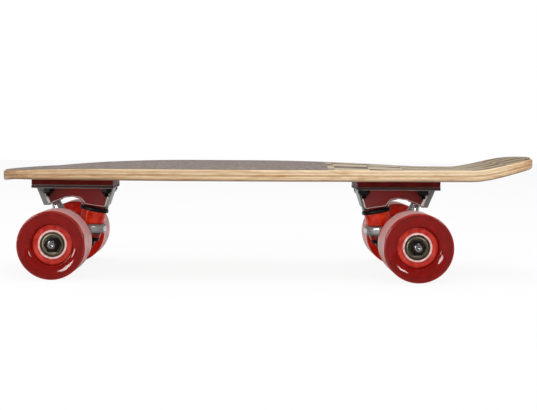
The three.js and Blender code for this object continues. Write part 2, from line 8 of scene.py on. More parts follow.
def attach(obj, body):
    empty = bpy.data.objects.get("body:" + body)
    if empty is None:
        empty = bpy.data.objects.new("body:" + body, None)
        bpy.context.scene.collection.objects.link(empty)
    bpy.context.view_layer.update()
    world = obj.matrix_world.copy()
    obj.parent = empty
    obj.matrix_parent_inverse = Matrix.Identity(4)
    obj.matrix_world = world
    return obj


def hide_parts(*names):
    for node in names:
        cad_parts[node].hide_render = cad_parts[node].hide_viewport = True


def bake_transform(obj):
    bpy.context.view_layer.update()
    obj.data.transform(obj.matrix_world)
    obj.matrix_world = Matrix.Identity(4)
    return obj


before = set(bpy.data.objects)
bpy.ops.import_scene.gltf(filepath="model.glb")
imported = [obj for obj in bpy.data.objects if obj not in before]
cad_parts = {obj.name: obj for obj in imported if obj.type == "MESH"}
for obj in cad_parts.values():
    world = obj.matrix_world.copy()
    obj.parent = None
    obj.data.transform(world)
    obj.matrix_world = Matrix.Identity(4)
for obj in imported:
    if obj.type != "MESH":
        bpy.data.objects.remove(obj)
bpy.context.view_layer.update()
mm = 0.001

# Colours and nodes


def colour(tone):  # sRGB hex, or a plain grey level, as the linear values of a shader
    if not isinstance(tone, str):
        return (tone, tone, tone, 1)
    parts = [int(tone[i:i + 2], 16) / 255 for i in (1, 3, 5)]
    linear = [p / 12.92 if p <= 0.04045 else ((p + 0.055) / 1.055) ** 2.4 for p in parts]
    return (*linear, 1)


def perMetre(size):  # a texture scale that makes its features this many mm wide
    return 1 / (size * mm)


def span(start, end, first=0, last=1):  # values for a range between two places in mm
    return {1: start * mm, 2: end * mm, 3: first, 4: last}


def linkInputs(node, links):  # from sockets, or from nodes by the output that they use
    for key, source in links.items():
        if isinstance(source, bpy.types.Node):
            source = next(socket for socket in source.outputs if socket.enabled)
        node.id_data.links.new(source, node.inputs[key])


def addNode(tree, kind, settings=None, values=None, links=None, stops=None):
    node = tree.nodes.new("ShaderNode" + kind)
    for key, value in (settings or {}).items():
        setattr(node, key, value)
    for key, value in (values or {}).items():
        node.inputs[key].default_value = value
    linkInputs(node, links or {})
    if stops:
        elements = node.color_ramp.elements
        elements.remove(elements[1])
        elements[0].position = stops[0][0]
        elements[0].color = colour(stops[0][1])
        for where, tone in stops[1:]:
            elements.new(where).color = colour(tone)
    return node


# A noise with features some mm wide, as one size or as one along each axis. Given stops,
# it comes through a ramp of their tones.
def addPattern(tree, place, size, detail=2, roughness=0.5, stops=None):
    scale = 1
    if isinstance(size, tuple):
        place = addNode(tree, "Mapping", values={"Scale": [perMetre(side) for side in size]},
                        links={"Vector": place})
    else:
        scale = perMetre(size)
    pattern = addNode(tree, "TexNoise", links={"Vector": place}, values={
        "Scale": scale, "Detail": detail, "Roughness": roughness})
    return addNode(tree, "ValToRGB", links={0: pattern}, stops=stops) if stops else pattern


def newMaterial(name, look):
    material = bpy.data.materials.new(name)
    material.use_nodes = True
    tree = material.node_tree
    shader = tree.nodes["Principled BSDF"]
    for key, value in look.items():
        shader.inputs[key].default_value = value
    return material, tree, shader, addNode(tree, "TexCoord").outputs["Object"]


def dress(shader, tone, relief, strength, height):  # its colour, and a relief in mm
    bump = addNode(shader.id_data, "Bump", links={"Height": relief}, values={
        "Strength": strength, "Distance": height * mm})
    linkInputs(shader, {"Base Color": tone, "Normal": bump})


blend = {"data_type": "RGBA"}
multiply = {"data_type": "RGBA", "blend_type": "MULTIPLY"}

# Wood, grit and rubber-like plastics. Where a list holds pairs, they are the places and the
# tones of a ramp.

plyLook = {
    "pale": "#efd6b0",
    "honey": "#e1c298",
    "tan": "#cda97a",
    "shade": "#a8947e",
    # The lowest ply, shade, is painted darker and greyer: painted shade along the underside edge.
    "plies": ["shade", "honey", "pale", "tan", "pale", "honey", "pale"],  # from below
    "glueLine": "#b28a5c",
    "glueBlur": 0.022,     # this and the sway are shares of the deck's thickness
    "sway": 0.16,
    "swaySize": (55, 12, 3),
    "grainSize": (45, 0.5, 0.5),
    "grain": [(0.3, 0.62), (0.5, 0.93), (0.72, 1)],
    "grainShare": 0.75,
    "burnSize": (26, 2.2, 2.2),
    "burn": [(0.24, "#d8b47c"), (0.5, 1)],
    "burnShare": 0.8,
    "noseTint": "#c4a478",
    "noseFade": (-240, 100, 0.91, 0),
    "noseCurve": 1.8,
    "tailTint": "#ecc49c",
    "tailFade": (205, 245, 0, 0.8),
}


def makeMaplePly():
    # Rotary-cut hard maple in seven plies, sanded and lacquered: pale and honey stripes
    # along the edge with thin brown glue lines, and long soft grain on both faces.
    look = plyLook
    material, tree, shader, place = newMaterial("lacqueredMaplePly", {
        "Roughness": 0.45, "IOR": 1.5, "Coat Weight": 0.3, "Coat Roughness": 0.22})
    wave = addPattern(tree, place, look["swaySize"])
    depth = addNode(tree, "Attribute", {"attribute_name": "plyDepth"}).outputs["Fac"]
    sway = addNode(tree, "Math", {"operation": "MULTIPLY_ADD"},
                   {1: look["sway"], 2: -look["sway"] / 2}, {0: wave})
    bent = addNode(tree, "Math", {"operation": "ADD"}, links={0: depth, 1: sway})
    count = len(look["plies"])
    stops = []
    for i, tone in enumerate(look["plies"]):
        low, high = i / count, (i + 1) / count
        stops += [(low + look["glueBlur"], look[tone]), (high - look["glueBlur"], look[tone]),
                  (high, look["glueLine"])]
    layers = addNode(tree, "ValToRGB", links={0: bent}, stops=stops[:-1])
    grain = addPattern(tree, place, look["grainSize"], 5, 0.6)
    streaks = addNode(tree, "ValToRGB", links={0: grain}, stops=look["grain"])
    grained = addNode(tree, "Mix", multiply, {0: look["grainShare"]}, {6: layers, 7: streaks})
    burns = addPattern(tree, place, look["burnSize"], stops=look["burn"])
    burnt = addNode(tree, "Mix", multiply, {0: look["burnShare"]}, {6: grained, 7: burns})
    along = addNode(tree, "SeparateXYZ", links={0: place}).outputs["X"]
    back = addNode(tree, "MapRange", values=span(*look["noseFade"]), links={0: along})
    nose = addNode(tree, "Math", {"operation": "POWER"}, {1: look["noseCurve"]}, {0: back})
    tinted = addNode(tree, "Mix", multiply, {7: colour(look["noseTint"])}, {0: nose, 6: burnt})
    tail = addNode(tree, "MapRange", values=span(*look["tailFade"]), links={0: along})
    warmed = addNode(tree, "Mix", multiply, {7: colour(look["tailTint"])}, {0: tail, 6: tinted})
    dress(shader, warmed, grain, 0.12, 0.1)
    return material


gripLook = {
    "gritSize": 0.9,       # real grit is about 0.25 mm, drawn coarser so that it shows
    "grainSize": 0.7,
    "grains": [(0.3, "#574a44"), (0.5, "#8f827b"), (0.68, "#ada09a")],
    "patchSize": 5,
    "patches": [(0.34, 0.68), (0.66, 1)],
    "patchShare": 0.8,
    "gritEnds": 54,        # from here to the tail the sheet is clear, over printed bars
    "barLength": 30.3,
    "barWidth": 13,
    "barShift": 0.8,
    "bare": "#dfd0b2",
    "inks": [(0.36, "#89776a"), (0.5, "#9c8f83"), (0.64, "#b9ad9e")],
    "inkSize": 0.7,        # as a share of a bar's length
    "streakSize": (60, 1.4, 1000),
    "streaks": [(0.35, 0.72), (0.6, 1)],
    "streakShare": 0.6,
    "speckleShare": 0.35,
    "kickGrey": "#e2dad0",
    "kickFade": (160, 215),
}


def makeGripSheet():
    # Silicon carbide grit bonded to a sheet: a dull brownish grey with single bright
    # and dark grains. Toward the tail it is clear, over a plain staggered bar print, which
    # goes greyer over the kick.
    look = gripLook
    material, tree, shader, place = newMaterial("mineralGritSheet", {
        "Roughness": 0.88, "IOR": 1.5, "Specular IOR Level": 0.35})
    grit = addNode(tree, "TexVoronoi", values={"Scale": perMetre(look["gritSize"])},
                   links={"Vector": place})
    grain = addPattern(tree, place, look["grainSize"], 3, 0.7, look["grains"])
    patch = addPattern(tree, place, look["patchSize"], 3, stops=look["patches"])
    gritty = addNode(tree, "Mix", multiply, {0: look["patchShare"]}, {6: grain, 7: patch})
    barPlace = addNode(tree, "Mapping", values={
        "Location": (look["barShift"] / look["barLength"], 0.5, 0.5),
        "Scale": (perMetre(look["barLength"]), perMetre(look["barWidth"]), 0)},
        links={"Vector": place})
    bars = addNode(tree, "TexChecker", values={
        "Color1": colour(0), "Color2": colour(1), "Scale": 1}, links={"Vector": barPlace})
    inks = addPattern(tree, place, look["barLength"] * look["inkSize"], 0, stops=look["inks"])
    printed = addNode(tree, "Mix", blend, {6: colour(look["bare"])}, {0: bars, 7: inks})
    streaks = addPattern(tree, place, look["streakSize"], 4, stops=look["streaks"])
    wooden = addNode(tree, "Mix", multiply, {0: look["streakShare"]},
                     {6: printed, 7: streaks})
    speckled = addNode(tree, "Mix", multiply, {0: look["speckleShare"]}, {6: wooden, 7: grain})
    along = addNode(tree, "SeparateXYZ", links={0: place}).outputs["X"]
    kick = addNode(tree, "MapRange", values=span(*look["kickFade"]), links={0: along})
    kickGreyed = addNode(tree, "Mix", multiply, {7: colour(look["kickGrey"])},
                      {0: kick, 6: speckled})
    clear = addNode(tree, "Math", {"operation": "GREATER_THAN"}, {1: look["gritEnds"] * mm},
                    {0: along})
    both = addNode(tree, "Mix", blend, links={0: clear, 6: gritty, 7: kickGreyed})
    dress(shader, both, grit, 0.55, 0.25)
    return material


wheelLook = {
    # The last stop is a painted highlight: the rim's lip is painted brighter, as if catching light.
    "ring": [(0.03, "#a0241a"), (0.09, "#8e0c06"), (0.3, "#850e09"), (0.6, "#850e09"),
             (0.84, "#78100c"), (0.97, "#a4241e")],
    "ringFade": (17, 30),  # the radii that the ring's tones run between
    # painted glow: the tone that the inner side is painted toward
    "inside": "#f02a1a",
    "insideFade": (-12, -4, 1, 0),
    "hazeSize": 7,
    "haze": [(0.3, 0.6), (0.7, 1)],
    "hazeShare": 0.6,
    "grindSize": (14, 14, 0.5),
    "tread": [(0.3, "#a03a36"), (0.62, "#c8605c")],
    "treadSheen": "#ffdcda",
}


def makeCastUrethane():
    # Clear red urethane cast round the core and left glossy from the mould. The core shows
    # through it as a soft bright edge; past that it is deep red, with a painted highlight
    # that makes the rim brighter.
    # On the inner side a painted glow, a brighter red, stands for the light that comes through the
    # wheel.
    look = wheelLook
    material, tree, shader, place = newMaterial("castRedUrethane", {
        "Roughness": 0.08, "IOR": 1.5, "Subsurface Weight": 0.12, "Subsurface Scale": 2 * mm,
        "Subsurface Radius": (1, 0.08, 0.05)})
    axes = addNode(tree, "SeparateXYZ", links={0: place})
    flat = addNode(tree, "CombineXYZ", links={0: axes.outputs["X"], 1: axes.outputs["Y"]})
    radius = addNode(tree, "VectorMath", {"operation": "LENGTH"}, links={0: flat})
    share = addNode(tree, "MapRange", values=span(*look["ringFade"]), links={0: radius})
    tone = addNode(tree, "ValToRGB", links={0: share}, stops=look["ring"])
    # The inner side is painted brighter red: a painted glow.
    glowShare = addNode(tree, "MapRange", values=span(*look["insideFade"]),
                     links={0: axes.outputs["Z"]})
    glowing = addNode(tree, "Mix", blend, {7: colour(look["inside"])}, {0: glowShare, 6: tone})
    haze = addPattern(tree, place, look["hazeSize"], stops=look["haze"])
    hazy = addNode(tree, "Mix", multiply, {0: look["hazeShare"]}, {6: glowing, 7: haze})
    dress(shader, hazy, addPattern(tree, place, look["hazeSize"], 1), 0.05, 0.2)
    return material


def makeGroundTread():
    # The same urethane where the tread is ground true: satin, with fine rings round the
    # wheel from the grinding, so it goes pinkish only where it is seen very flat.
    look = wheelLook
    material, tree, shader, place = newMaterial("groundRedUrethane", {
        "Roughness": 0.42, "IOR": 1.5, "Specular IOR Level": 0.35, "Subsurface Weight": 0.1,
        "Subsurface Scale": 2 * mm, "Subsurface Radius": (1, 0.1, 0.08),
        "Sheen Weight": 0.75, "Sheen Roughness": 0.4, "Sheen Tint": colour(look["treadSheen"])})
    ground = addPattern(tree, place, look["grindSize"], 4, 0.65)
    tone = addNode(tree, "ValToRGB", links={0: ground}, stops=look["tread"])
    dress(shader, tone, ground, 0.3, 0.08)
    return material


def makeClearPlastic(name, tones, size, height, look):
    # Two tones of one plastic, clouded softly, with the slight unevenness of its mould.
    material, tree, shader, place = newMaterial(name, look)
    tone = addPattern(tree, place, size, 3, stops=[(0.32, tones[0]), (0.68, tones[1])])
    dress(shader, tone, addPattern(tree, place, size / 6), 0.25, height)
    return material


def makeMetal(name, tones, roughness, lines, wave, height, metallic=1):
    # A metal surface with faint lines from its last working: they vary its gloss, and
    # its tone a little, and the broad waves are those of hand polishing.
    material, tree, shader, place = newMaterial(name, {"Metallic": metallic})
    worked = addPattern(tree, place, lines, 4, 0.6)
    tone = addNode(tree, "ValToRGB", links={0: worked}, stops=[(0.3, tones[0]), (0.7, tones[1])])
    gloss = addNode(tree, "MapRange", values={1: 0.3, 2: 0.7, 3: roughness[0], 4: roughness[1]},
                    links={0: worked})
    broad = addNode(tree, "Bump", values={"Strength": 0.35, "Distance": height * mm},
                    links={"Height": addPattern(tree, place, wave, 1)})
    fine = addNode(tree, "Bump", values={"Strength": 0.1, "Distance": 0.02 * mm},
                   links={"Height": worked, "Normal": broad})
    linkInputs(shader, {"Base Color": tone, "Roughness": gloss, "Normal": fine})
    return material


# The panel's tones are a painted reflection of the red wheels, darker toward the pivot as painted
# shade.
panelLook = {
    "tones": [(0.1, "#702b29"), (0.45, "#8e2c27"), (0.8, "#8e3333"), (1, "#8d3d39")],
    "fade": (-15, 42, -0.12, 0.88),
    "cloudSize": 11,
    "cloud": 0.35,
}


def makeReflectionPaintedPanel():
    # The casting's polished panel, painted maroon as a painted reflection of the red wheels, and
    # darker toward the pivot as painted shade.
    look = panelLook
    material, tree, shader, place = newMaterial("reflectionPaintedPanel", {
        "Metallic": 0.3, "Roughness": 0.32, "Specular IOR Level": 0.4})
    along = addNode(tree, "SeparateXYZ", links={0: place}).outputs["X"]
    cloud = addPattern(tree, place, look["cloudSize"])
    share = addNode(tree, "MapRange", values=span(*look["fade"]), links={0: along})
    mixed = addNode(tree, "Math", {"operation": "MULTIPLY_ADD"}, {1: look["cloud"]},
                    {0: cloud, 2: share})
    tone = addNode(tree, "ValToRGB", links={0: mixed}, stops=look["tones"])
    dress(shader, tone, cloud, 0.2, 0.2)
    return material


turning = (9, 9, 0.25)  # mm between the lines round a turned piece, across and along
polishing = (6, 6, 0.8)

materials = {
    "ply": makeMaplePly(),
    "grip": makeGripSheet(),
    "urethane": makeCastUrethane(),
    "tread": makeGroundTread(),
    # Poured urethane, very dark red and a little cloudy, with a satin skin.
    "riser": makeClearPlastic("pouredDarkRedUrethane", ("#5c0c08", "#74130e"), 8, 0.1, {
        "Roughness": 0.4, "IOR": 1.5, "Specular IOR Level": 0.1}),
    # Poured urethane, clear orange-red: it glows where light passes through it.
    "bushing": makeClearPlastic("clearOrangeUrethane", ("#c01c0a", "#f04426"), 6, 0.12, {
        "Roughness": 0.12, "IOR": 1.5, "Subsurface Weight": 0.15, "Subsurface Scale": 3 * mm,
        "Subsurface Radius": (1, 0.2, 0.08)}),
    # The harder urethane under the hanger's ring, the same red painted darker: painted shade under
    # the ring.
    "lowBushing": makeClearPlastic("shadedRedUrethane", ("#7e1a10", "#9a2618"), 5, 0.1, {
        "Roughness": 0.2, "IOR": 1.5}),
    # Moulded nylon: bright orange-red and satin.
    "core": makeClearPlastic("mouldedRedNylon", ("#bc2418", "#e04636"), 6, 0.06, {
        "Roughness": 0.34, "Specular IOR Level": 0.15, "IOR": 1.53,
        "Subsurface Weight": 0.12, "Subsurface Scale": 2 * mm,
        "Subsurface Radius": (1, 0.2, 0.15)}),
    # The thin lip of the core, in a pale frosted pink.
    "coreLip": makeClearPlastic("paleFrostedNylon", ("#e6a9a2", "#f6d9d4"), 3, 0.04, {
        "Roughness": 0.35, "IOR": 1.53}),
    # Moulded acetal, black and slightly waxy.
    "cup": makeClearPlastic("mouldedBlackAcetal", ("#101011", "#1e1e20"), 4, 0.05, {
        "Roughness": 0.45, "IOR": 1.48}),
    # Nylon collars of the lock nuts, dark grey and dull.
    "insert": makeClearPlastic("greyNylonInsert", ("#26272a", "#3a3b40"), 2, 0.04, {
        "Roughness": 0.55, "IOR": 1.53}),
    # Sand-cast aluminium ground and hand polished: a bright mirror with soft waves.
    "aluminium": makeMetal("polishedCastAluminium", ("#b9babb", "#dcdddd"), (0.07, 0.16),
                           polishing, 14, 0.25),
    # The hanger's polish is a little rougher: it catches the lamps as soft grey fields.
    "softPolish": makeMetal("brushedCastAluminium", ("#bcbdbe", "#dcdddd"), (0.15, 0.27),
                            polishing, 12, 0.2, 0.75),
    # The same casting where the wheel was not laid on: sand-blasted, grey and dull.
    "castSkin": makeMetal("blastedCastAluminium", ("#8d8e8a", "#adaeaa"), (0.38, 0.55),
                          (0.8,) * 3, 5, 0.3),
    # Turned steel under bright zinc: cool and shiny, with fine rings.
    "steel": makeMetal("zincPlatedSteel", ("#a9acae", "#d0d2d2"), (0.12, 0.26), turning, 9, 0.1),
    # The flange's edge, painted dark brown-grey without polish: painted shade from the riser, with
    # a painted dark reflection.
    "shadedEdge": makeMetal("shadedFlangeEdge", ("#3c1e1a", "#4c2822"), (0.5, 0.6), (1.5,) * 3, 7, 0.1,
                          0.25),
    "panel": makeReflectionPaintedPanel(),
    # Machined aluminium edges, painted nearly white and satin with hardly any mirror: a painted
    # highlight along the ribs.
    "highlightEdge": makeMetal("highlightPaintedEdge", ("#eeeee8", "#fbfbf8"), (0.5, 0.6),
                          (0.5,) * 3, 6, 0.1, 0.1),
    # Bearing rings with a brown film of old oil: dark and satin.
    "race": makeMetal("oiledBearingSteel", ("#4c3c30", "#66564a"), (0.3, 0.42), turning, 9, 0.05),
    # Pressed steel shield, olive from the grease behind it.
    "shield": makeMetal("oiledPressedSteel", ("#7c755f", "#a49c82"), (0.3, 0.45), turning, 4,
                        0.15),
    # Steel blackened in a hot oxide bath: nearly black, with a low oily shine.
    "black": makeMetal("blackOxideSteel", ("#1b1a1a", "#2d2b2a"), (0.3, 0.48), (1.2,) * 3, 5,
                       0.15, 0.85),
}
print("materials made:", len(materials))

# Mesh tools. Profiles and outlines are in mm, and meshes in metres.


def movedTo(x, y, z):
    return Matrix.Translation((x * mm, y * mm, z * mm))


def turnedBy(degrees, axis):
    return Matrix.Rotation(math.radians(degrees), 4, axis)


def addObject(name, data):
    item = bpy.data.objects.new(name, data)
    bpy.context.scene.collection.objects.link(item)
    return item


def newPiece(name, verts, faces, *names):
    mesh = bpy.data.meshes.new(name)
    mesh.from_pydata([Vector(v) * mm for v in verts], [], faces)
    for key in names:
        mesh.materials.append(materials[key])
    return addObject(name, mesh)


def tidyMesh(piece, sharpAngle=35):
    shape = bmesh.new()
    shape.from_mesh(piece.data)
    bmesh.ops.remove_doubles(shape, verts=shape.verts, dist=0.001 * mm)
    bmesh.ops.dissolve_degenerate(shape, edges=shape.edges, dist=0.001 * mm)
    bmesh.ops.recalc_face_normals(shape, faces=shape.faces)
    shape.to_mesh(piece.data)
    shape.free()
    piece.data.shade_smooth()
    piece.data.set_sharp_from_angle(angle=math.radians(sharpAngle))
    return piece


def modified(piece, kind, **settings):  # with one modifier, applied
    modifier = piece.modifiers.new(kind.lower(), kind)
    for key, value in settings.items():
        setattr(modifier, key, value)
    bpy.context.view_layer.update()
    shaped = piece.evaluated_get(bpy.context.evaluated_depsgraph_get())
    mesh = bpy.data.meshes.new_from_object(shaped)
    piece.modifiers.clear()
    piece.data = mesh
    return piece


def rounded(points, closed=False, steps=4):  # corners given as (x, y, radius) become curves
    result = []
    for i, point in enumerate(points):
        atEnd = not closed and i in (0, len(points) - 1)
        corner = Vector(point[:2])
        if atEnd or len(point) < 3:
            result.append(tuple(corner))
            continue
        back = Vector(points[i - 1][:2]) - corner
        ahead = Vector(points[(i + 1) % len(points)][:2]) - corner
        reach = point[2] / math.tan(back.angle(ahead) / 2)
        reach = min(reach, back.length * 0.49, ahead.length * 0.49)
        first = corner + back.normalized() * reach
        last = corner + ahead.normalized() * reach
        for k in range(steps + 1):
            t = k / steps
            result.append(tuple(first * (1 - t) ** 2 + corner * 2 * t * (1 - t) + last * t * t))
    return result


# Turns rows of (radius, height) round Z, and closes the ring unless it starts on the axis.
# A row may be a function of the angle, and pick gives the material of each strip.
def revolve(name, rows, materialNames, segments=96, pick=None, sharpAngle=35):
    verts = []
    for k in range(segments):
        angle = 2 * math.pi * k / segments
        for row in rows:
            radius, height = row(angle) if callable(row) else row
            verts.append((radius * math.cos(angle), radius * math.sin(angle), height))
    count = len(rows)
    strips = count if callable(rows[0]) or rows[0][0] else count - 1
    faces = []
    for k in range(segments):
        after = (k + 1) % segments
        for j in range(strips):
            q = (j + 1) % count
            faces.append((k * count + j, after * count + j, after * count + q, k * count + q))
    piece = newPiece(name, verts, faces, *materialNames)
    if pick:
        chosen = [pick(j) for j in range(strips)] * segments
        piece.data.polygons.foreach_set("material_index", chosen)
    return tidyMesh(piece, sharpAngle)


def hexRadius(flats, angle):
    turn = math.pi / 3
    toCorner = abs((angle % turn) - turn / 2)
    return min(flats / 2 / math.cos(turn / 2 - toCorner), flats / 2 * 1.135)


def hexRows(flats, bore, bottom, top, chamfer=0.4):
    def drop(angle):
        return max(0, hexRadius(flats, angle) - flats / 2 * 0.97) * 0.5

    return [
        (bore, bottom + chamfer),
        (bore + chamfer, bottom),
        (flats / 2 * 0.96, bottom),
        lambda angle: (hexRadius(flats, angle), bottom + drop(angle)),
        lambda angle: (hexRadius(flats, angle), top - drop(angle)),
        (flats / 2 * 0.96, top),
        (bore + chamfer, top),
        (bore, top - chamfer),
    ]


def threadRows(radius, pitch, low, high):
    depth = pitch * 0.45
    steps = 6
    rows = []
    for i in range(int((high - low) / pitch * steps) + 1):
        height = low + i * pitch / steps

        def row(angle, height=height):
            turn = (height / pitch - angle / (2 * math.pi)) % 1
            return radius - depth * abs(turn * 2 - 1), height

        rows.append(row)
    return rows


def joined(first, *others):
    bpy.context.view_layer.update()
    shape = bmesh.new()
    shape.from_mesh(first.data)
    for other in others:
        mesh = other.data.copy()
        mesh.transform(first.matrix_world.inverted() @ other.matrix_world)
        for material in mesh.materials:
            if first.data.materials.find(material.name) < 0:
                first.data.materials.append(material)
        slots = [first.data.materials.find(m.name) for m in mesh.materials]
        for polygon in mesh.polygons:
            if slots:
                polygon.material_index = slots[polygon.material_index]
        shape.from_mesh(mesh)
        bpy.data.objects.remove(other)
    shape.to_mesh(first.data)
    shape.free()
    return first


def place(piece, body, slot, matrix, *nodes):
    piece.matrix_world = matrix
    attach(piece, body)
    if nodes:
        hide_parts(*nodes)
    return piece


# Deck and grip sheet

deckSize = {
    "length": 489,
    "bottom": 86,
    "thickness": 9.6,
    "edgeRadius": 2.6,
    "widest": 75,
    "widestX": -50,
    "noseHalf": 64,
    "tailHalf": 56.5,
    "noseRound": 52,
    "tailRound": 37,
    "cornerPower": 2.25,
    "noseDroop": 3.2,
    "noseDroopLength": 105,
    "noseTuckLength": 27,
    "kickRise": 11.0,
    "kickLength": 64,
    "crown": 6,
    "crownFront": -70,
    "crownRear": -10,
    "crownFlat": 0.2,
    "runIn": 143,
    "runOut": 170,
    "underFront": -138.1,
    "underRear": 81.5,
    "stations": 170,
    "across": 28,
    "gripUnder": 0.62,
    "gripTop": 0.9,
    "gripSunk": 0.1,       # past the veneer the sheet starts this far above the deck
    "gripInset": 2.2,
    "gripEdge": 0.12,
    "veneer": 0.6,         # the deck is this much thicker than the solid, up to the kick
    "veneerEnds": 190,
    "veneerFade": 40,
}


def smoothStep(t):
    t = min(max(t, 0), 1)
    return t * t * (3 - 2 * t)


def halfWidthAt(x):
    d = deckSize
    nose = x < d["widestX"]
    endHalf = d["noseHalf"] if nose else d["tailHalf"]
    endX = -d["length"] / 2 if nose else d["length"] / 2
    run = d["noseRound"] if nose else d["tailRound"]
    taper = (1 + math.cos(math.pi * (x - d["widestX"]) / (endX - d["widestX"]))) / 2
    wide = endHalf + (d["widest"] - endHalf) * taper
    corner = max(0, 1 - abs(endX - x) / run) ** d["cornerPower"]
    return wide * max(0, 1 - corner) ** (1 / d["cornerPower"])


def bendAt(x, droopLength):
    d = deckSize
    kick = d["kickRise"] * smoothStep((x - d["length"] / 2 + d["kickLength"]) / d["kickLength"])
    nose = max(0, 1 - (x + d["length"] / 2) / droopLength)
    return kick - d["noseDroop"] * nose * nose


def crownAt(x, share, frontEnd, rearEnd):
    d = deckSize

    def fade(distance, run):
        return math.cos(min(max(distance / run, 0), 1) * math.pi / 2)

    front = fade(d["crownFront"] - x, d["crownFront"] - frontEnd)
    rear = fade(x - d["crownRear"], rearEnd - d["crownRear"])
    out = max(0, abs(share) - d["crownFlat"]) / (1 - d["crownFlat"])
    return d["crown"] * front * rear * (1 - min(out, 1) ** 2)


def shareAt(x, y):
    reach = max(halfWidthAt(x) - deckSize["edgeRadius"], 0.01)
    return min(1, abs(y) / reach)


def deckTopAt(x, y):
    d = deckSize
    crown = crownAt(x, shareAt(x, y), d["crownFront"] - d["runIn"], d["crownRear"] + d["runOut"])
    return d["bottom"] + d["thickness"] + bendAt(x, d["noseDroopLength"]) + crown


def deckUnderAt(x, y):
    d = deckSize
    crown = crownAt(x, shareAt(x, y), d["underFront"], d["underRear"])
    return d["bottom"] + bendAt(x, d["noseTuckLength"]) + crown


# The side of the board from nose to tail, evenly spaced, with its outward directions.
def boardSide():
    half = deckSize["length"] / 2
    fine = 4000
    path = []
    for i in range(fine + 1):
        x = -half * math.cos(math.pi * i / fine)
        path.append(Vector((x, halfWidthAt(x))))
    lengths = [0]
    for a, b in zip(path, path[1:]):
        lengths.append(lengths[-1] + (b - a).length)
    points = []
    k = 0
    for i in range(deckSize["stations"] + 1):
        wanted = lengths[-1] * i / deckSize["stations"]
        while k < fine - 1 and lengths[k + 1] < wanted:
            k += 1
        span = lengths[k + 1] - lengths[k]
        points.append(path[k].lerp(path[k + 1], (wanted - lengths[k]) / span))
    outward = []
    for i, point in enumerate(points):
        before = points[i - 1] if i else Vector((point.x, -points[1].y))
        after = points[i + 1] if i < len(points) - 1 else Vector((point.x, -points[i - 1].y))
        run = (after - before).normalized()
        outward.append(Vector((-run.y, run.x)))
    outward[0] = Vector((-1, 0))
    outward[-1] = Vector((1, 0))
    return points, outward


# One closed shell with the board's outline: a rounded rim between two fair faces.
def boardShell(name, inset, underAt, topAt, radius, steps, materialName):
    points, outward = boardSide()
    across = deckSize["across"]
    arc = [math.pi / 2 * k / steps for k in range(steps + 1)]
    verts = []
    depths = []
    for point, normal in zip(points, outward):
        rim = []
        for face, angles in (("top", arc[::-1]), ("under", arc)):
            for angle in angles:
                spot = point - normal * (inset + radius * (1 - math.cos(angle)))
                rim.append((spot.x, max(spot.y, 0), face, radius * (1 - math.sin(angle))))
        inner = point - normal * (inset + radius)
        rows = [max(inner.y, 0) * (2 * k / across - 1) for k in range(across)]
        loop = [(inner.x, y, "top", 0) for y in rows] + rim
        loop += [(inner.x, -y, "under", 0) for y in rows[1:]]
        loop += [(x, -y, face, cut) for x, y, face, cut in reversed(rim[1:])]
        for x, y, face, cut in loop:
            top = topAt(x, y)
            under = underAt(x, y)
            z = top - cut if face == "top" else under + cut
            verts.append((x, y, z))
            depths.append((z - under) / (top - under))
    count = len(loop)
    faces = []
    for i in range(len(points) - 1):
        for j in range(count):
            k = (j + 1) % count
            faces.append((i * count + j, i * count + k, (i + 1) * count + k, (i + 1) * count + j))
    piece = newPiece(name, verts, faces, materialName)
    depth = piece.data.attributes.new("plyDepth", "FLOAT", "POINT")
    depth.data.foreach_set("value", depths)
    return tidyMesh(piece, 50)


trucks = {
    "front": {"x": -187.1, "turn": 1},
    "rear": {"x": 130.5, "turn": -1},
}

boltSize = {
    "patternX": 53.98,
    "patternY": 41.28,
    "inboard": 13.1,
    "radius": 2.4,
    "head": 4.7,
    "headHeight": 2.5,
    "headAbove": 0.7,      # above the wood, a little under the grit
    "cutFrom": 60,         # the cutters of the holes run from here to above the heads
    "cutAbove": 9,
    "woodGap": 0.2,
    "gripGap": 0.25,
    "drive": 1.65,
    "driveDepth": 1.4,
    "nutFlats": 9.5,
    "nutTop": 76.65,
    "nutHeight": 5,
    "collar": {"bore": 2.5, "depth": 1.5, "lip": 0.62, "shoulder": 0.9, "foot": 0.93,
               "edge": 0.5},
    "stickout": 3,
    "pitch": 0.9,
}


def boltPlaces(truck):
    places = []
    for end in (-1, 1):
        for side in (-1, 1):
            x = boltSize["inboard"] + end * boltSize["patternX"] / 2
            y = side * boltSize["patternY"] / 2
            places.append((truck["x"] + truck["turn"] * x, truck["turn"] * y))
    return places


def boltHeadAt(x, y):
    return deckTopAt(x, y) + boltSize["headAbove"]


def cutHoles(piece, gap):
    b = boltSize
    cutters = []
    for truck in trucks.values():
        for x, y in boltPlaces(truck):
            head = boltHeadAt(x, y)
            neck = head - b["headHeight"]
            low, high = b["cutFrom"], head + b["cutAbove"]
            cutter = revolve("cutter", [
                (0, low), (b["radius"] + gap, low), (b["radius"] + gap, neck),
                (b["head"] + gap, head), (b["head"] + gap, high), (0, high)], [], 32)
            cutter.matrix_world = movedTo(x, y, 0)
            cutters.append(cutter)
    cutter = joined(*cutters)
    modified(piece, "BOOLEAN", object=cutter, operation="DIFFERENCE", solver="EXACT")
    bpy.data.objects.remove(cutter)
    piece.data.set_sharp_from_angle(angle=math.radians(50))
    return piece


def veneerAt(x):
    d = deckSize
    return 1 - smoothStep((x - d["veneerEnds"]) / d["veneerFade"])


def woodTopAt(x, y):
    return deckTopAt(x, y) + deckSize["veneer"] * veneerAt(x)


def gripUnderAt(x, y):
    d = deckSize
    rise = d["gripUnder"] - d["gripSunk"]
    return deckTopAt(x, y) + d["gripSunk"] + rise * veneerAt(x)


def gripTopAt(x, y):
    return deckTopAt(x, y) + deckSize["gripTop"]


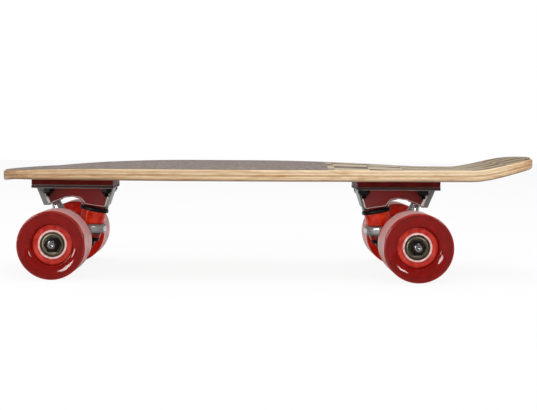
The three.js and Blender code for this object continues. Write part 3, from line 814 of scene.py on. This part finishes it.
deck = boardShell("maple_deck", 0, deckUnderAt, woodTopAt, deckSize["edgeRadius"], 6, "ply")
place(cutHoles(deck, boltSize["woodGap"]), "board", "maple_ply", Matrix.Identity(4), "deck")

grip = boardShell("grit_sheet", deckSize["gripInset"], gripUnderAt, gripTopAt,
                  deckSize["gripEdge"], 2, "grip")
place(cutHoles(grip, boltSize["gripGap"]), "board", "grip", Matrix.Identity(4), "grip_tape")
print("deck and grip sheet made")


def deckBolt(name, x, y):
    b = boltSize
    head = boltHeadAt(x, y)
    neck = head - b["headHeight"]
    tip = b["nutTop"] - b["nutHeight"] - b["stickout"]

    def drive(angle):
        return hexRadius(b["drive"] * 2, angle)

    rows = [(0, tip), (b["radius"] * 0.7, tip), *threadRows(b["radius"], b["pitch"], tip + 0.4,
                                                            b["nutTop"] + 3),
            (b["radius"], b["nutTop"] + 4), (b["radius"], neck),
            (b["head"] - 0.1, head - 0.35), (b["head"], head - 0.2), (b["head"] - 0.25, head),
            (b["drive"] * 1.3, head),
            lambda angle: (drive(angle), head - 0.15),
            lambda angle: (drive(angle), head - b["driveDepth"]),
            (0, head - b["driveDepth"] - 0.3)]
    return revolve(name, rows, ["black"], 48, sharpAngle=32)


# A hex nut from its seat to the face of its nylon collar. The collar's radii are shares of
# half the flats.
def lockNut(name, flats, bore, seat, face, collar, chamfer=0.4, segments=64):
    into = 1 if face < seat else -1
    low, high = sorted((seat, face + collar["depth"] * into))
    half = flats / 2
    profile = [(collar["bore"], face + 2 * into), (collar["bore"], face + 0.3 * into, 0.2),
               (half * collar["lip"], face, 0.2), (half * collar["shoulder"], face, collar["edge"]),
               (half * collar["foot"], face + 2 * into)]
    nut = revolve(name, hexRows(flats, bore, low, high, chamfer), ["black"], 72, sharpAngle=28)
    return joined(nut, revolve("collar", rounded(profile, steps=3), ["black", "insert"], segments,
                               lambda j: 1 if j < 6 else 0))


for truckName, truck in trucks.items():
    b = boltSize
    for number, (x, y) in enumerate(boltPlaces(truck), 1):
        spot = movedTo(x, y, 0)
        bolt = deckBolt(f"{truckName}_countersunk_bolt_{number}", x, y)
        place(bolt, "board", "black_steel", spot, f"{truckName}_deck_bolt_{number}")
        nut = lockNut(f"{truckName}_nylon_lock_nut_{number}", b["nutFlats"], b["radius"],
                      b["nutTop"], b["nutTop"] - b["nutHeight"], b["collar"], 0.3, 48)
        turned = spot @ Matrix.Rotation(0.4 * number, 4, "Z")
        place(nut, "board", "black_steel", turned, f"{truckName}_lock_nut_{number}")
print("bolts and lock nuts made")

# Trucks. Each is drawn round the middle of its axle, with +X pointing inboard.

truckSize = {
    "axleHeight": 30,
    "ringX": 22.5,
    "ringZ": 8.2,
    "kingpinLean": 11.5,
    "pivotX": -11.2,
    "pivotZ": 35,
    "pivotLean": -20,
    "ringLean": 2,
}


def truckMatrix(truck):
    turned = turnedBy(0 if truck["turn"] > 0 else 180, "Z")
    return movedTo(truck["x"], 0, truckSize["axleHeight"]) @ turned


def leaning(x, z, degrees):
    return movedTo(x, 0, z) @ turnedBy(degrees, "Y")


onKingpin = leaning(truckSize["ringX"], truckSize["ringZ"], truckSize["kingpinLean"])
onPivot = leaning(truckSize["pivotX"], truckSize["pivotZ"], truckSize["pivotLean"])

riserSize = {
    "back": -28.6,
    "front": 46.9,
    "half": 26.5,
    "corner": 1.2,
    "bottom": 49.75,
    "top": 55.95,
    "edge": 0.4,
}


def makeRiser():
    r = riserSize
    corners = [(r["back"], -r["half"]), (r["front"], -r["half"]), (r["front"], r["half"]),
               (r["back"], r["half"])]
    outline = rounded([(*corner, r["corner"]) for corner in corners], closed=True, steps=8)
    count = len(outline)
    verts = [(x, y, z) for z in (r["bottom"], r["top"]) for x, y in outline]
    faces = [tuple(reversed(range(count))), tuple(range(count, 2 * count))]
    for i in range(count):
        k = (i + 1) % count
        faces.append((i, k, count + k, count + i))
    pad = newPiece("riser", verts, faces, "riser")
    modified(pad, "BEVEL", width=r["edge"] * mm, segments=3, limit_method="ANGLE",
             angle_limit=math.radians(50))
    return tidyMesh(pad, 40)


baseSize = {
    "panelTop": 46.4,
    "panelFoot": 27,
    "topDepth": 13.4,
    "footDepth": 10.2,
    "wallTop": 14.5,
    "wallFoot": 12.3,
    "beyond": 20,
    "edge": 0.3,
    "webEnd": -13,
    "ribStart": 37,
    "seatStart": 16,
    "seatTop": 33,
    "flangeFoot": 46.8,
    "flangeLine": 47.2,
    "flangeTopLine": 49.3,
}


def copyOfNode(node, name, materialName):
    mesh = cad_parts[node].data.copy()
    mesh.transform(truckMatrix(trucks["front"]).inverted())
    mesh.materials.clear()
    mesh.materials.append(materials[materialName])
    shape = bmesh.new()
    shape.from_mesh(mesh)
    bmesh.ops.remove_doubles(shape, verts=shape.verts, dist=0.002 * mm)
    bmesh.ops.dissolve_limit(shape, angle_limit=math.radians(1.5), verts=shape.verts,
                             edges=shape.edges)
    shape.to_mesh(mesh)
    shape.free()
    return addObject(name, mesh)


# The panel between the ribs is sunk into each side of the casting and leans in toward its
# foot. A machined edge, painted nearly white as a painted highlight, runs down each rib
# beside it: its outline is given twice, at the panel and at the wall.
def panelPocket(side):
    b = baseSize
    panel = [(-19.4, b["panelTop"]), (42.2, b["panelTop"]), (37.2, 29.7), (36.2, 29.3),
             (19.4, 31.9), (15.9, 36.6), (14.6, 38), (7.5, 39), (0, 38), (-11, 33.6),
             (-13.3, 32.3)]
    shifts = [(-2, 0.2), (1.5, 0.2), (1.5, 0), (0.3, -0.3), (-0.3, -0.3), (-0.3, -0.3),
              (0, -0.3), (0, -0.3), (0, -0.3), (-0.2, -0.4), (-1.9, -0.6)]
    height = b["panelTop"] - b["panelFoot"]

    def layer(outline, foot, top):
        return [(x, side * (foot + (top - foot) * (z - b["panelFoot"]) / height), z)
                for x, z in outline]

    wall = [(x + dx, z + dz) for (x, z), (dx, dz) in zip(panel, shifts)]
    verts = layer(panel, b["footDepth"], b["topDepth"])
    verts += layer(wall, b["wallFoot"], b["wallTop"])
    verts += layer(wall, b["beyond"], b["beyond"])
    count = len(panel)
    faces = [tuple(range(count)), tuple(reversed(range(2 * count, 3 * count)))]
    for start in (0, count):
        for i in range(count):
            k = (i + 1) % count
            faces.append((start + i, start + count + i, start + count + k, start + k))
    pocket = newPiece("pocket", verts, faces, "panel", "highlightEdge")
    for polygon in pocket.data.polygons:
        polygon.material_index = 0 if polygon.index < 2 else 1
    return tidyMesh(pocket)


def splitAcross(mesh, axis, *places):  # cuts all faces where they cross these places
    shape = bmesh.new()
    shape.from_mesh(mesh)
    for where in places:
        everything = [*shape.verts, *shape.edges, *shape.faces]
        bmesh.ops.bisect_plane(shape, geom=everything, plane_co=Vector(axis) * where * mm,
                               plane_no=axis)
    shape.to_mesh(mesh)
    shape.free()


def makeBaseplate():
    b = baseSize
    plate = copyOfNode("front_baseplate", "baseplate", "aluminium")
    pockets = joined(panelPocket(-1), panelPocket(1))
    modified(plate, "BOOLEAN", object=pockets, operation="DIFFERENCE", solver="EXACT",
             material_mode="TRANSFER")
    bpy.data.objects.remove(pockets)
    mesh = plate.data
    splitAcross(mesh, (1, 0, 0), b["webEnd"], b["ribStart"])
    splitAcross(mesh, (0, 0, 1), b["flangeLine"], b["flangeTopLine"])
    slots = {}
    for key in ("aluminium", "castSkin", "shadedEdge", "panel"):
        if mesh.materials.find(materials[key].name) < 0:
            mesh.materials.append(materials[key])
        slots[key] = mesh.materials.find(materials[key].name)
    for polygon in mesh.polygons:
        x, y, z = polygon.center / mm
        if polygon.material_index != slots["aluminium"]:
            continue
        if z > b["flangeFoot"]:
            # The flange's side faces take the painted shade.
            edge = abs(polygon.normal.z) < 0.3 and b["flangeLine"] < z < b["flangeTopLine"]
            polygon.material_index = slots["shadedEdge" if edge else "castSkin"]
        elif x < b["webEnd"] or x > b["ribStart"]:
            polygon.material_index = slots["castSkin"]
        # The seat below the panel takes the panel's painted reflection.
        elif x > b["seatStart"] and z < b["seatTop"]:
            polygon.material_index = slots["panel"]
    modified(plate, "BEVEL", width=b["edge"] * mm, segments=2, limit_method="ANGLE",
             angle_limit=math.radians(35))
    return modified(tidyMesh(plate, 50), "WEIGHTED_NORMAL", keep_sharp=True)


hangerSize = {"voxel": 0.55, "smoothing": 9}


def makeHanger():
    casting = copyOfNode("front_hanger", "hanger", "softPolish")
    modified(casting, "REMESH", mode="VOXEL", voxel_size=hangerSize["voxel"] * mm, adaptivity=0)
    modified(casting, "SMOOTH", factor=0.5, iterations=hangerSize["smoothing"])
    casting.data.shade_smooth()
    return casting


pinSize = {
    "radius": 4.75,
    "below": 17.5,
    "headFlats": 14,
    "headHeight": 5,
    "headTop": 39.7,
    "pitch": 1.2,
    "nutFlats": 12.6,
    "nutBore": 4.85,
    "nutTop": -11.25,
    "nutHeight": 5,
    "collar": {"bore": 4.85, "depth": 1.6, "lip": 0.75, "shoulder": 0.9, "foot": 0.93,
               "edge": 0.6},
}


def makeKingpin():
    p = pinSize
    low = -p["below"]
    neck = p["headTop"] - p["headHeight"]
    flats = p["headFlats"]
    rows = [(0, low), (p["radius"] * 0.75, low),
            *threadRows(p["radius"], p["pitch"], low + 0.6, -3),
            (p["radius"], -2.4), (p["radius"], neck), (flats / 2 * 0.95, neck),
            lambda angle: (hexRadius(flats, angle), neck + 0.2),
            lambda angle: (hexRadius(flats, angle), p["headTop"] - 0.9),
            (flats / 2 * 0.95, p["headTop"]), (0, p["headTop"])]
    return revolve("kingpin", rows, ["steel"], 72, sharpAngle=32)


# The kingpin's nut is drawn in black oxide steel: a dark piece standing for the shade under the
# bushings, painted shade.
def makeKingpinNut():
    p = pinSize
    return lockNut("kingpin_nut", p["nutFlats"], p["nutBore"], p["nutTop"],
                   p["nutTop"] - p["nutHeight"], p["collar"])


rubberSize = {
    "bore": 5.05,
    "top": 18.6,
    "bottomOfTop": 4.7,
    "radius": 12,
    "waist": 11.8,
    "lowRadius": 10.9,
    "lowTop": -4.7,
    "lowFoot": -8.05,
    "lowTaper": 0.8,
    "washerRadius": 13.5,
    "washerTop": 20.2,
    "washerDepth": 3.4,
    "washerPlate": 1.3,
    "lowWasherRadius": 10.2,
    "lowWasherThickness": 2.6,
}


# The faces that meet the hanger's ring lean with it, since it isn't square to the kingpin.
def ringFace(height):
    lean = math.radians(truckSize["kingpinLean"] - truckSize["ringLean"])

    def row(radius):
        def at(angle):
            return radius, height + radius * math.cos(angle) * math.tan(lean)
        return at

    return row


def makeTopBushing():
    r = rubberSize
    foot = ringFace(r["bottomOfTop"])
    middle = (r["top"] + r["bottomOfTop"]) / 2
    rows = [foot(r["bore"]), foot((r["bore"] + r["radius"]) / 2), foot(r["radius"] - 1)]
    edge = ringFace(r["bottomOfTop"] + 0.3)
    rows += [edge(r["radius"] - 0.3), ringFace(r["bottomOfTop"] + 1)(r["radius"])]
    for k in range(9):
        share = k / 8
        height = r["bottomOfTop"] + 3.2 + (r["top"] - r["bottomOfTop"] - 4.2) * share
        radius = r["waist"] + (r["radius"] - r["waist"]) * (2 * abs(height - middle)
                                                            / (r["top"] - r["bottomOfTop"])) ** 2
        rows.append((radius, height))
    rows += [(r["radius"] - 0.3, r["top"] - 0.3), (r["radius"] - 1, r["top"]),
             (r["bore"] + 1, r["top"]), (r["bore"], r["top"] - 0.5)]
    return revolve("top_bushing", rows, ["bushing"], sharpAngle=50)


def makeBottomBushing():
    r = rubberSize
    top = ringFace(r["lowTop"])
    foot = r["lowRadius"] - r["lowTaper"]
    rows = [(r["bore"], r["lowFoot"]), (foot - 0.6, r["lowFoot"]),
            (foot - 0.1, r["lowFoot"] + 0.4), (foot + 0.2, r["lowFoot"] + 1),
            ringFace(r["lowTop"] - 0.8)(r["lowRadius"] - 0.1),
            top(r["lowRadius"] - 0.5), top(r["bore"])]
    return revolve("bottom_bushing", rows, ["lowBushing"], sharpAngle=50)


def makeTopWasher():
    r = rubberSize
    foot = r["washerTop"] - r["washerDepth"]
    inner = r["radius"] + 0.35
    profile = rounded([
        (r["bore"], r["washerTop"] - r["washerPlate"]), (r["bore"], r["washerTop"], 0.2),
        (r["washerRadius"], r["washerTop"], 1.3), (r["washerRadius"], foot, 0.5),
        (inner, foot, 0.4), (inner, r["washerTop"] - r["washerPlate"], 0.6)],
        closed=True, steps=5)
    return revolve("top_washer", profile, ["black"])


def makeBottomWasher():
    r = rubberSize
    top = r["lowFoot"] - 0.3
    low = top - r["lowWasherThickness"]
    profile = rounded([(r["bore"], low, 0.3), (r["bore"], top, 0.3),
                       (r["lowWasherRadius"], top, 0.5), (r["lowWasherRadius"], low, 0.6)],
                      closed=True)
    return revolve("bottom_washer", profile, ["black"])


cupSize = {
    "radius": 6.2,
    "bore": 5,
    "top": 6.5,
    "roof": 5.3,
    "rim": -2.2,
}


def makePivotCup():
    c = cupSize
    profile = rounded([(0, c["top"]), (c["radius"], c["top"], 1), (c["radius"], c["rim"], 0.4),
                       (c["bore"], c["rim"], 0.4), (c["bore"], c["roof"], 1.2), (0, c["roof"])])
    return revolve("pivot_cup", profile, ["cup"], 64)


axleSize = {
    "radius": 4,
    "half": 84.5,
    "pitch": 1.4,
    "threadFrom": 75,
    "dimple": 1.7,
    "dimpleDepth": 1.4,
}


def makeAxle():
    a = axleSize
    right = [(a["radius"], a["threadFrom"] - 1),
             *threadRows(a["radius"], a["pitch"], a["threadFrom"], a["half"] - 0.7),
             (a["radius"] * 0.8, a["half"] - 0.2), (a["radius"] * 0.72, a["half"]),
             (a["dimple"], a["half"]), (a["dimple"] * 0.75, a["half"] - 0.3),
             (0, a["half"] - a["dimpleDepth"])]

    def mirrored(row):
        if callable(row):
            return lambda angle: (row(angle)[0], -row(angle)[1])
        return row[0], -row[1]

    left = [mirrored(row) for row in reversed(right)]
    return revolve("axle", [*left, *right], ["steel"], 64, sharpAngle=32)


# Wheel pieces, round Z with the outer face upward

wheelSize = {
    "radius": 30,
    "half": 22,
    "centre": 65.5,
    "coreRadius": 17.5,
    "outerFace": 12,
    "innerFace": 11,
    "lip": 3.45,
    "dish": 27.3,
    "dishBend": 16.5,
    "foot": 19.4,
    "coreLip": 12.8,
    "coreLipTop": 12.9,
    "coreStep": 15.6,
    "coreDish": 14.2,
    "coreBore": 7.6,
    "bearing": 11,
    "bearingWidth": 7,
    "outerRace": 9.4,
    "innerRace": (4.15, 6),
}


def makeTyre():
    w = wheelSize

    def side(face):
        rim = rounded([(w["radius"], w["half"] - 5), (w["radius"], w["half"], w["lip"]),
                       (w["dish"], w["half"])], steps=10)
        bend = w["dishBend"]
        dish = []
        for k in range(1, 15):
            radius = w["dish"] + (w["foot"] - w["dish"]) * k / 14
            drop = bend - math.sqrt(bend ** 2 - (w["dish"] - radius) ** 2)
            dish.append((radius, w["half"] - drop))
        edge = dish[-1][1]
        wall = rounded([dish[-1], (w["foot"] - 0.8, edge - 0.6, 0.6), (w["foot"] - 1, face + 1, 1),
                        (w["coreRadius"] + 0.05, face)], steps=5)
        return rim + dish + wall[1:]

    innerSide = [(r, -z) for r, z in reversed(side(w["innerFace"]))]
    rows = [*innerSide, *side(w["outerFace"])]
    treadRow = len(innerSide) - 1
    return revolve("tyre", rows, ["urethane", "tread"], 160,
                   lambda j: 1 if j == treadRow else 0, sharpAngle=60)


def makeCore():
    w = wheelSize
    outer, inner = w["outerFace"], -w["innerFace"]
    seat = w["bearingWidth"]
    radius = w["coreRadius"] - 0.05
    bore = w["bearing"] + 0.05
    profile = rounded([
        (radius, inner, 0.3), (radius, outer, 0.3), (w["coreStep"], outer - 0.1, 0.5),
        (w["coreDish"], outer - 0.8, 0.6), (w["coreLip"], outer - 0.9, 0.3),
        (w["coreLip"], w["coreLipTop"], 0.4), (bore, w["coreLipTop"], 0.3),
        (bore, outer - seat), (w["coreBore"], outer - seat), (w["coreBore"], inner + seat),
        (bore, inner + seat), (bore, inner, 0.3)], closed=True)
    lipRows = [j for j, (r, z) in enumerate(profile) if z > outer - 0.75 and r < 13]
    return revolve("core", profile, ["core", "coreLip"], 160,
                   lambda j: 1 if j in lipRows else 0, sharpAngle=32)


def flatRing(name, bore, radius, low, high, innerEdge, outerEdge, materialName, segments=96):
    profile = [(bore, low, innerEdge), (bore, high, innerEdge), (radius, high, outerEdge),
               (radius, low, outerEdge)]
    return revolve(name, rounded(profile, closed=True, steps=3), [materialName], segments)


def makeBearing():
    w = wheelSize
    half = w["bearingWidth"] / 2
    outer = flatRing("bearing", w["outerRace"], w["bearing"], -half, half, 0.2, 0.5, "race")
    inner = flatRing("inner", *w["innerRace"], -half, half, 0.4, 0.2, "race")
    face = half - 0.45
    shield = rounded([(9.5, -face), (9.5, face), (9, face), (8.6, face + 0.18, 0.2),
                      (8.1, face + 0.18, 0.2), (7.7, face), (6.5, face), (6.2, face - 0.3),
                      (6.2, -face)], closed=True, steps=2)
    return joined(outer, inner, revolve("shield", shield, ["shield"]))


nutSize = {
    "flats": 12.6,
    "bore": 4.2,
    "face": 12.05,
    "washer": 0.8,
    "washerBore": 4.15,
    "washerRadius": 5.8,
    "height": 4.2,
    "collar": {"bore": 4.2, "depth": 1.5, "lip": 0.7, "shoulder": 0.86, "foot": 0.9,
               "edge": 0.6},
}


def makeAxleNut():
    n = nutSize
    low = n["face"] + n["washer"]
    top = low + n["height"]
    nut = lockNut("axle_nut", n["flats"], n["bore"], low + 0.05, top, n["collar"])
    return joined(nut, flatRing("washer", n["washerBore"], n["washerRadius"], n["face"], low,
                                0.15, 0.25, "steel", 64))


shared = {
    "riser": makeRiser(),
    "baseplate": makeBaseplate(),
    "hanger": makeHanger(),
    "kingpin": makeKingpin(),
    "kingpinNut": makeKingpinNut(),
    "topWasher": makeTopWasher(),
    "bottomWasher": makeBottomWasher(),
    "topBushing": makeTopBushing(),
    "bottomBushing": makeBottomBushing(),
    "pivotCup": makePivotCup(),
    "axle": makeAxle(),
    "tyre": makeTyre(),
    "core": makeCore(),
    "bearing": makeBearing(),
    "axleNut": makeAxleNut(),
}
print("truck and wheel shapes made:", len(shared))


def another(key, name):
    return addObject(name, shared[key].data)


def placeAll(prefix, rows):
    for key, label, body, slot, matrix, node in rows:
        place(another(key, f"{prefix}_{label}"), body, slot, matrix, f"{prefix}_{node}")


def softBetween(piece, matrix, node):
    piece.data = piece.data.copy()
    piece.matrix_world = matrix
    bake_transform(piece)
    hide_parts(node)


def buildWheel(truckName, truck, sideName, side):
    w = wheelSize
    name = f"{truckName}_{sideName}"
    wheel = f"{name}_wheel"
    centre = movedTo(truck["x"], side * w["centre"], truckSize["axleHeight"])
    home = centre @ turnedBy(-90 * side, "X") @ turnedBy(90 * side, "Z")
    seat = w["bearingWidth"] / 2
    outer = home @ movedTo(0, 0, w["outerFace"] - seat)
    inner = home @ movedTo(0, 0, seat - w["innerFace"])
    placeAll(name, [
        ("tyre", "cast_tyre", wheel, "wheel_urethane", home, "tyre"),
        ("core", "moulded_core", wheel, "core_plastic", home, "core"),
        ("bearing", "shielded_bearing_outer", wheel, "bearing_steel", outer, "bearing_outer"),
        ("bearing", "shielded_bearing_inner", wheel, "bearing_steel", inner, "bearing_inner"),
        ("axleNut", "flanged_axle_nut", f"{truckName}_truck", "black_steel", home, "axle_nut"),
    ])


for truckName, truck in trucks.items():
    home = truckMatrix(truck)
    pinned = home @ onKingpin
    across = home @ turnedBy(90, "X")
    moving = f"{truckName}_truck"
    placeAll(truckName, [
        ("riser", "poured_riser", "board", "riser", home, "riser_pad"),
        ("baseplate", "cast_baseplate", "board", "polished_aluminium", home, "baseplate"),
        ("kingpin", "kingpin_bolt", "board", "steel", pinned, "kingpin"),
        ("kingpinNut", "kingpin_lock_nut", "board", "steel", pinned, "kingpin_nut"),
        ("topWasher", "cup_washer", "board", "black_steel", pinned, "top_washer"),
        ("bottomWasher", "flat_washer", "board", "black_steel", pinned, "bottom_washer"),
        ("pivotCup", "acetal_pivot_cup", "board", "cup_plastic", home @ onPivot, "pivot_cup"),
        ("hanger", "cast_hanger", moving, "polished_aluminium", home, "hanger"),
        ("axle", "threaded_axle", moving, "steel", across, "axle"),
    ])
    softBetween(another("topBushing", f"{truckName}_barrel_bushing"), pinned,
                f"{truckName}_top_bushing")
    softBetween(another("bottomBushing", f"{truckName}_cone_bushing"), pinned,
                f"{truckName}_bottom_bushing")
    for sideName, side in (("left", -1), ("right", 1)):
        buildWheel(truckName, truck, sideName, side)
for piece in shared.values():
    bpy.data.objects.remove(piece)
print("trucks and wheels placed")

# Studio: floor, lamps, world and camera

studio = {
    "floorSize": 8,
    "floorColour": "#f4f4f4",
    "cameraWhite": 0.9,
    "lamps": [
        # name, place, size, power, colour, and what sees it: a fill lights only dull
        # surfaces, and a mirror shows only in shiny ones
        ("overhead", (0.0, 0.1, 1.5), (1.6, 1.0), 10.5, "#ffffff", "both"),
        ("frontFill", (0.0, -1.7, 0.8), (1.6, 1.0), 13, "#ffffff", "fill"),
        ("softLeft", (-1.1, -0.15, 0.75), (0.45, 0.9), 8, "#fffaf4", "mirror"),
        ("softRight", (1.1, -0.05, 0.66), (0.3, 0.6), 3.5, "#f8faff", "mirror"),
        ("keyLeft", (-1.66, -3.12, 0.84), (0.9, 0.85), 32, "#ffffff", "mirror"),
        ("keyRight", (0.645, -1.145, 0.33), (0.14, 0.26), 1.8, "#ffffff", "mirror"),
        ("lowLeft", (-1.0, -0.75, 0.12), (0.1, 0.24), 1.2, "#ffffff", "mirror"),
    ],
    "aim": (-0.03, 0, 0.06),
    "worldDull": 0.6,
    "mirroredRoom": [(0, 0.12), (0.3, 0.05), (0.6, 0.08), (0.8, 0.2)],
    "floorFade": (0, 150, 0.75, 0),
}


# To the camera the floor is nearly white. Shiny surfaces see it dim in front of the board,
# as a dark room would make it.
def makeFloor():
    half = studio["floorSize"] / 2 / mm
    floor = newPiece("studio_floor", [(-half, -half, 0), (half, -half, 0), (half, half, 0),
                                      (-half, half, 0)], [(0, 1, 2, 3)])
    material, tree, shader, place = newMaterial("paleStudioFloor", {
        "Base Color": colour(studio["floorColour"]), "Roughness": 0.9})
    path = addNode(tree, "LightPath")
    glow = addNode(tree, "Emission", values={"Strength": 1})
    strength = addNode(tree, "Math", {"operation": "MULTIPLY"}, {1: studio["cameraWhite"]},
                       {0: path.outputs["Is Camera Ray"]})
    both = addNode(tree, "MixShader", links={0: strength, 1: shader, 2: glow})
    depth = addNode(tree, "SeparateXYZ", links={0: place}).outputs["Y"]
    front = addNode(tree, "MapRange", values=span(*studio["floorFade"]), links={0: depth})
    dimmed = addNode(tree, "Math", {"operation": "MULTIPLY"},
                     links={0: front, 1: path.outputs["Is Glossy Ray"]})
    dark = addNode(tree, "BsdfDiffuse", values={"Color": colour(0.02)})
    whole = addNode(tree, "MixShader", links={0: dimmed, 1: both, 2: dark})
    linkInputs(tree.nodes["Material Output"], {"Surface": whole})
    floor.data.materials.append(material)


def makeLamps():
    for name, spot, size, power, tint, role in studio["lamps"]:
        lamp = bpy.data.lights.new(name, "AREA")
        lamp.shape = "RECTANGLE"
        lamp.size, lamp.size_y = size
        lamp.energy = power
        lamp.color = colour(tint)[:3]
        holder = addObject(name, lamp)
        holder.location = spot
        aim = Vector(studio["aim"]) - Vector(spot)
        holder.rotation_euler = aim.to_track_quat("-Z", "Y").to_euler()
        holder.visible_glossy = role != "fill"
        holder.visible_diffuse = role != "mirror"


# The camera and dull surfaces see an even pale room. Shiny ones see it white behind the
# board, grey round the camera and dark at both sides.
def makeWorld():
    world = bpy.data.worlds.new("studioRoom")
    bpy.context.scene.world = world
    world.use_nodes = True
    tree = world.node_tree
    direction = addNode(tree, "TexCoord").outputs["Generated"]
    axes = addNode(tree, "SeparateXYZ", links={0: direction})
    share = addNode(tree, "MapRange", values={1: -1, 2: 1}, links={0: axes.outputs["Y"]})
    room = addNode(tree, "ValToRGB", links={0: share}, stops=studio["mirroredRoom"])
    path = addNode(tree, "LightPath")
    dull = addNode(tree, "Mix", {"data_type": "FLOAT"}, {2: studio["worldDull"], 3: 1.0},
                   {0: path.outputs["Is Camera Ray"]})
    level = addNode(tree, "Mix", {"data_type": "FLOAT"}, links={
        0: path.outputs["Is Glossy Ray"], 2: dull, 3: room})
    linkInputs(tree.nodes["Background"], {"Strength": level})
    tree.nodes["Background"].inputs["Color"].default_value = colour(1)


cameraSize = {
    "place": (-0.02095, -1.0, 0.1272),
    "yaw": -1.845,
    "pitch": 2.842,
    "roll": 0.301,
    "lens": 71.33,
    "sensor": 36,
    "shift": (0.1117, -0.0337),
}


def makeCamera():
    c = cameraSize
    yaw, pitch, roll = (math.radians(c[key]) for key in ("yaw", "pitch", "roll"))
    forward = Vector((math.sin(yaw) * math.cos(pitch), math.cos(yaw) * math.cos(pitch),
                      -math.sin(pitch)))
    level = Vector((math.cos(yaw), -math.sin(yaw), 0))
    above = level.cross(forward)
    right = level * math.cos(roll) + above * math.sin(roll)
    up = above * math.cos(roll) - level * math.sin(roll)
    lens = bpy.data.cameras.new("photoCamera")
    lens.lens = c["lens"]
    lens.sensor_width = c["sensor"]
    lens.shift_x, lens.shift_y = c["shift"]
    camera = addObject("photoCamera", lens)
    turned = Matrix((right, up, -forward)).transposed().to_4x4()
    camera.matrix_world = Matrix.Translation(c["place"]) @ turned
    bpy.context.scene.camera = camera


makeFloor()
makeLamps()
makeWorld()
makeCamera()
bpy.context.scene.view_settings.view_transform = "Standard"
print("studio ready")
